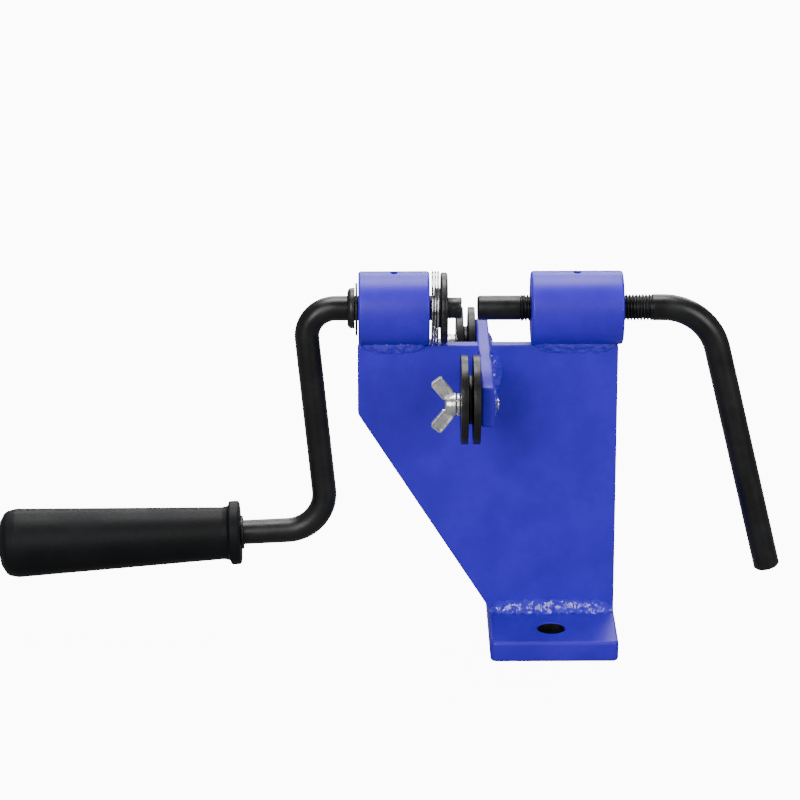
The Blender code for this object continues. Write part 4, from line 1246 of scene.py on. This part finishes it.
# --- feed screw -------------------------------------------------------------------------
@dataclass
class FeedScrew:
    """Threaded bar bent into its own handle, with the hard anvil in its end."""

    pitch: float = 1.5 * MM
    depth: float = 0.92 * MM
    bend_to_boss: float = 38.8 * MM
    bend: float = 26.0 * MM
    drop: float = 126.8 * MM
    lean: float = 30.8 * MM
    thread_past_boss: float = 14.0 * MM
    run_out: float = 1.6 * MM
    rows_per_pitch: int = 12
    chamfer: float = 0.9 * MM
    thread_lead: float = 0.2 * MM
    core_margin: float = 0.1 * MM
    bend_detail: float = 2.5 * MM
    anvil_gap: float = 0.1 * MM
    anvil_shank: float = 3.0 * MM
    anvil_nose: float = 0.8 * MM

    def build(self) -> None:
        """Make the screw and its anvil."""
        screw = Extent("feed_screw")
        boss = Extent("screw_boss")
        boss_right, centre_z = boss.high.x, boss.centre.z
        thread_end = boss_right + self.thread_past_boss
        bend_x = boss_right + self.bend_to_boss
        threaded = route([(screw.low.x, centre_z, 0.0), (thread_end, centre_z, 0.0)],
                         self.pitch / self.rows_per_pitch)
        bent = route([
            (thread_end, centre_z, 0.0), (bend_x, centre_z, self.bend),
            (bend_x + self.lean, centre_z - self.drop, 0.0),
        ], self.bend_detail)
        mesh = bar("feed_bar", np.vstack([threaded, bent[1:]]), screw.half_depth, self.chamfer)
        blank = Blank("feed_bar", mesh)
        blank.worked(thread_tree(), Material=OXIDE_BAR.material(), **{
            "Centre": (0.0, 0.0, centre_z), "Pitch": self.pitch, "Depth": self.depth,
            "Start": screw.low.x + self.thread_lead, "End": thread_end, "Run-out": self.run_out,
            "Core": screw.half_depth - self.chamfer - self.core_margin,
        })
        show("feed_bar", blank.taken_off(THREAD_CREASE), OXIDE_BAR, "screw", "feed_screw",
             crease=THREAD_CREASE)
        self.anvil(centre_z)

    def anvil(self, centre_z: float) -> None:
        """Plain hard tip with a chamfered nose."""
        tip = Extent("anvil_tip")
        radius, length, shank, nose = tip.radius, tip.length, self.anvil_shank, self.anvil_nose
        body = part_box("feed_screw")[0].x - tip.low.x - self.anvil_gap
        section = outline([
            (0.0, 0.0, 0.0), (radius - nose, 0.0, 0.3 * MM), (radius, nose, 0.5 * MM),
            (radius, body, 0.25 * MM), (shank, body, 0.0), (shank, length, 0.0), (0.0, length, 0.0),
        ])
        mesh = turned("anvil", section, Vector((tip.low.x, 0.0, centre_z)), looped=True)
        show("anvil", mesh, OXIDE_BAR, "anvil", "anvil_tip")


# --- chain rollers ----------------------------------------------------------------------
# A wing's outline in mm: X from the nut's seat, height over the stud's axis, corner radius.
WING_CORNERS = (
    (-0.5, 2.0, 0.0), (-1.3, 6.2, 1.8), (-7.0, 13.5, 1.5), (-11.7, 9.7, 1.5), (-6.4, 3.2, 2.4),
    (-4.6, 1.6, 0.0),
)


@dataclass
class RollerSet:
    """One stud with its roller, spring washer and wing nut."""

    side: Side
    wing_turn: float
    groove: float = 2.3 * MM
    hub: float = 11.0 * MM
    stud_pitch: float = 1.0 * MM
    stud_depth: float = 0.55 * MM
    wing_thickness: float = 2.8 * MM
    rim: float = 0.8 * MM
    pocket: float = 0.55 * MM
    pocket_wall: float = 0.25 * MM
    blob_shift: float = 2.6 * MM
    blob_inset: float = 1.1 * MM
    blob_sink: float = 0.4 * MM
    roller_bore: float = 3.3 * MM
    washer_bore: float = 3.2 * MM
    washer_spring: float = 0.22 * MM
    washer_opening: float = math.radians(9.0)
    washer_split: float = math.radians(-128.0)
    nut_bore: float = 3.05 * MM
    nut_height: float = 5.0 * MM
    stud_sides: int = 40
    stud_chamfer: float = 0.5 * MM
    stud_run_out: float = 0.6 * MM
    stud_core_inset: float = 0.6 * MM
    blob_shoulder: float = 0.3
    blob_crown: float = 0.62
    nut_seat: float = 5.3 * MM
    nut_waist: float = 5.0 * MM
    nut_waist_height: float = 2.6 * MM
    nut_top: float = 4.3 * MM
    cast_voxel: float = 0.12 * MM
    cast_passes: int = 2
    roller_sides: int = 144

    def build(self) -> None:
        """Make everything on this stud."""
        spin = joint(self.named("roller_turn"))
        self.axis_y = spin["pos_m"][1]
        self.axis_z = spin["pos_m"][2]
        self.roller()
        self.stud()
        self.stud_blob()
        self.lock_washer()
        self.wing_nut()

    def named(self, part: str) -> str:
        """Return the name of this side's part."""
        return f"{self.side.word}_{part}"

    def at(self, x: float) -> Vector:
        """Return the point of the stud's axis at X."""
        return Vector((x, self.axis_y, self.axis_z))

    def roller(self) -> None:
        """Grooved wheel bored off centre."""
        wheel = Extent(self.named("roller"))
        rim, width = wheel.radius, wheel.length
        cheek = (width - self.groove) / 2
        section = outline([
            (0.0, 0.0, 0.0), (rim, 0.0, 0.3 * MM), (rim, cheek, 0.2 * MM),
            (self.hub, cheek, 0.9 * MM),
            (self.hub, cheek + self.groove, 0.9 * MM), (rim, cheek + self.groove, 0.2 * MM),
            (rim, width, 0.3 * MM), (0.0, width, 0.0),
        ], math.radians(20.0))
        name = self.named("chain_roller")
        centre = Vector((wheel.low.x, wheel.centre.y, wheel.centre.z))
        blank = Blank(name, turned(name, section, centre, looped=True, steps=self.roller_sides))
        radius = self.roller_bore
        profile = [(0.0, -width), (radius, -width), (radius, 2 * width), (0.0, 2 * width)]
        blank.combined(turned("roller_bore", profile, self.at(wheel.low.x), steps=48), "DIFFERENCE")
        show(name, blank.taken_off(), OXIDE_ROLLER, self.named("guide"), self.named("roller"))

    def stud(self) -> None:
        """Threaded stud through the bar."""
        rod = Extent(self.named("stud"))
        left, right, radius = rod.low.x, rod.high.x, rod.radius
        name = self.named("threaded_stud")
        path = route([(left, self.axis_z, 0.0), (right, self.axis_z, 0.0)], self.stud_pitch / 10)
        mesh = bar(name, path, radius, self.stud_chamfer, self.stud_sides, self.axis_y)
        blank = Blank(name, mesh)
        blank.worked(thread_tree(), Material=ZINC.material(), **{
            "Centre": (0.0, self.axis_y, self.axis_z), "Pitch": self.stud_pitch,
            "Depth": self.stud_depth, "Start": left, "End": right, "Run-out": self.stud_run_out,
            "Core": radius - self.stud_core_inset,
        })
        show(name, blank.taken_off(THREAD_CREASE), ZINC, "stand", self.named("stud"),
             crease=THREAD_CREASE)

    def stud_blob(self) -> None:
        """Lumpy weld round the stud's end on the bar's right face."""
        weld = Extent(self.named("stud_weld"))
        bar_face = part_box("roller_bracket")[1].x
        outer = weld.radius - self.blob_inset
        crown = weld.high.x - bar_face
        sink = -self.blob_sink
        place = self.at(bar_face) - Vector((0.0, self.side.value * self.blob_shift, 0.0))
        section = outline([
            (0.0, sink, 0.0), (outer, sink, 0.0), (outer, crown * self.blob_shoulder, 0.4 * MM),
            (outer * self.blob_crown, crown, 0.9 * MM), (0.0, crown, 0.0),
        ])
        name = self.named("stud_bead")
        blank = Blank(name, turned(name, section, place, looped=True, steps=96))
        blank.worked(weld_tree(), Material=ENAMEL_BEAD.material(), Along=(0.0, 0.0, 1.0), **{
            "Ripple Length": 2.8 * MM, "Ripple Height": 0.25 * MM, "Lump Scale": 220.0,
            "Lump Height": 1.8 * MM,
        })
        show(name, blank.taken_off(BEAD_CREASE), ENAMEL_BEAD, "stand", self.named("stud_weld"),
             crease=BEAD_CREASE)

    def lock_washer(self) -> None:
        """Split spring washer with its two ends sprung apart."""
        washer = Extent(self.named("lock_washer"))
        half = (washer.length - self.washer_spring) / 2
        corners = outline([
            (washer.radius, -half, 0.15 * MM), (washer.radius, half, 0.15 * MM),
            (self.washer_bore, half, 0.1 * MM), (self.washer_bore, -half, 0.1 * MM),
        ], math.radians(30.0))
        first = self.washer_split + self.washer_opening
        last = self.washer_split + FULL_TURN - self.washer_opening
        rings = []
        for turn in np.linspace(first, last, 90):
            shift = ((turn - self.washer_split) / FULL_TURN - 0.5) * self.washer_spring
            radial = np.array([0.0, math.cos(turn), math.sin(turn)])
            centre = np.array([washer.low.x + washer.length / 2 + shift, self.axis_y, self.axis_z])
            ring = [centre + radial * out + np.array([along, 0.0, 0.0]) for out, along in corners]
            rings.append(np.array(ring))
        name = self.named("spring_washer")
        show(name, skin(name, rings), ZINC, self.named("washer"), self.named("lock_washer"))

    def wing(self, seat: float, turn: float, name: str) -> Mesh:
        """Return one wing with a rim and a shallow pocket on both faces.

        Args:
            seat: X of the nut's seat.
            turn: the wing's angle about the stud, from straight up.
            name: the mesh's name.
        """
        points = outline([(x * MM, z * MM, radius * MM) for x, z, radius in WING_CORNERS])
        half = self.wing_thickness / 2
        mesh = prism(name, points, Through.Y, -half, half)
        shape = bmesh.new()
        shape.from_mesh(mesh)
        broad = sorted(shape.faces, key=lambda face: face.calc_area())[-2:]
        bmesh.ops.inset_individual(shape, faces=broad, thickness=self.rim)
        bmesh.ops.inset_individual(shape, faces=broad, thickness=self.pocket_wall)
        for face in broad:
            bmesh.ops.translate(shape, verts=face.verts, vec=-face.normal * self.pocket)
        shape.to_mesh(mesh)
        shape.free()
        mesh.transform(Matrix.Translation(self.at(seat)) @ Matrix.Rotation(turn, 4, "X"))
        return mesh

    def wing_nut(self) -> None:
        """Cast wing nut: a domed hub with two wings grown out of it."""
        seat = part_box(self.named("wing_nut"))[1].x
        name = self.named("cast_wing_nut")
        bore, height = self.nut_bore, self.nut_height
        section = outline([
            (bore, 0.0, 0.2 * MM), (self.nut_seat, 0.0, 0.4 * MM),
            (self.nut_waist, -self.nut_waist_height, 0.8 * MM),
            (self.nut_top, -height, 1.1 * MM), (bore, -height, 0.3 * MM),
        ])
        blank = Blank(name, turned(name, section, self.at(seat), looped=True, steps=64))
        for index in range(2):
            wing = self.wing(seat, self.wing_turn + index * math.pi, f"{name}_wing")
            blank.combined(wing, "UNION")
        profile = [(0.0, -8.0 * MM), (bore, -8.0 * MM), (bore, MM), (0.0, MM)]
        blank.combined(turned("nut_bore", profile, self.at(seat), steps=64), "DIFFERENCE")
        mesh = blank.cast(self.cast_voxel, self.cast_passes).taken_off(180.0)
        show(name, mesh, ZINC, self.named("nut"), self.named("wing_nut"), crease=None)


# --- studio -----------------------------------------------------------------------------
def facing(place: Sequence[float], aim: Sequence[float]) -> Euler:
    """Return the turn that points a lamp or a camera at a spot."""
    return (Vector(aim) - Vector(place)).to_track_quat("-Z", "Y").to_euler()


@dataclass
class Studio:
    """Pale floor, soft lights and the camera."""

    camera_place: tuple[float, float, float] = (-0.0877, -1.6438, 0.68922)
    camera_aim: tuple[float, float, float] = (-0.0704, 0.0, 0.11352)
    lens: float = 171.0
    floor_half: float = 6.0
    surround: float = 0.22
    floor_seen: float = 11.0
    floor_cast: float = 0.0
    light_aim: tuple[float, float, float] = (0.0, 0.0, 0.1)
    panels: tuple[tuple[str, tuple[float, float, float], tuple[float, float], float], ...] = (
        ("top_panel", (-0.15, 0.4, 1.45), (1.0, 0.8), 27.0),
        ("front_panel", (-0.7, -1.3, 0.75), (0.7, 0.9), 17.0),
        ("fill_panel", (1.1, -1.2, 0.8), (0.9, 1.0), 15.0),
        ("back_panel", (0.1, 1.3, 0.9), (1.4, 0.5), 14.0),
    )

    def build(self) -> None:
        """Set the whole studio up."""
        self.floor()
        self.world()
        for name, place, size, power in self.panels:
            self.light(name, place, size, power)
        self.camera()

    def floor(self) -> None:
        """Large plain floor that looks white to the camera and is dull grey to every other ray."""
        half = self.floor_half
        mesh = bpy.data.meshes.new("floor")
        corners = [(-half, -half, 0.0), (half, -half, 0.0), (half, half, 0.0), (-half, half, 0.0)]
        mesh.from_pydata(corners, [], [(0, 1, 2, 3)])
        pale = bpy.data.materials.new("pale_floor")
        pale.use_nodes = True
        tree = Tree(pale.node_tree)
        cloud = tree.noise(tree.spot(), 1.5, detail=2.0)
        color = tree.blend(cloud, (0.14, 0.14, 0.142, 1.0), (0.16, 0.16, 0.16, 1.0))
        shader = pale.node_tree.nodes["Principled BSDF"]
        shader.inputs["Roughness"].default_value = 0.8
        pale.node_tree.links.new(color, shader.inputs["Base Color"])
        seen = tree.add("ShaderNodeLightPath").outputs["Is Camera Ray"]
        glow = tree.spread(seen, 0.0, 1.0, self.floor_cast, self.floor_seen)
        shader.inputs["Emission Color"].default_value = WHITE
        pale.node_tree.links.new(glow, shader.inputs["Emission Strength"])
        mesh.materials.append(pale)
        ground = bpy.data.objects.new("floor", mesh)
        bpy.context.scene.collection.objects.link(ground)

    def world(self) -> None:
        """Even white surroundings."""
        world = bpy.data.worlds.new("studio")
        world.use_nodes = True
        world.node_tree.nodes["Background"].inputs[0].default_value = WHITE
        world.node_tree.nodes["Background"].inputs[1].default_value = self.surround
        bpy.context.scene.world = world

    def light(self, name: str, place: tuple[float, float, float], size: tuple[float, float],
              power: float) -> None:
        """Add one soft panel.

        Args:
            name: the light's name.
            place: where it stands.
            size: its width and height.
            power: its power in watts.
        """
        panel = bpy.data.lights.new(name, "AREA")
        panel.shape = "RECTANGLE"
        panel.size, panel.size_y = size
        panel.energy = power
        lamp = bpy.data.objects.new(name, panel)
        lamp.location = place
        lamp.rotation_euler = facing(place, self.light_aim)
        bpy.context.scene.collection.objects.link(lamp)

    def camera(self) -> None:
        """Long lens, a little to the left and above."""
        data = bpy.data.cameras.new("camera")
        data.lens = self.lens
        data.clip_end = 50.0
        eye = bpy.data.objects.new("camera", data)
        eye.location = self.camera_place
        eye.rotation_euler = facing(self.camera_place, self.camera_aim)
        bpy.context.scene.collection.objects.link(eye)
        bpy.context.scene.camera = eye


def main() -> None:
    """Build every sub-assembly in order, then the studio."""
    logging.basicConfig(level=logging.INFO, format="%(name)s: %(message)s")
    for assembly in (
        Stand(),
        Crank(),
        Grip(),
        ReturnSpring(),
        FeedScrew(),
        RollerSet(Side.FRONT, wing_turn=0.0),
        RollerSet(Side.REAR, wing_turn=math.radians(80.0)),
        Studio(),
    ):
        LOG.info("building %s", type(assembly).__name__)
        assembly.build()


if __name__ == "__main__":
    main()
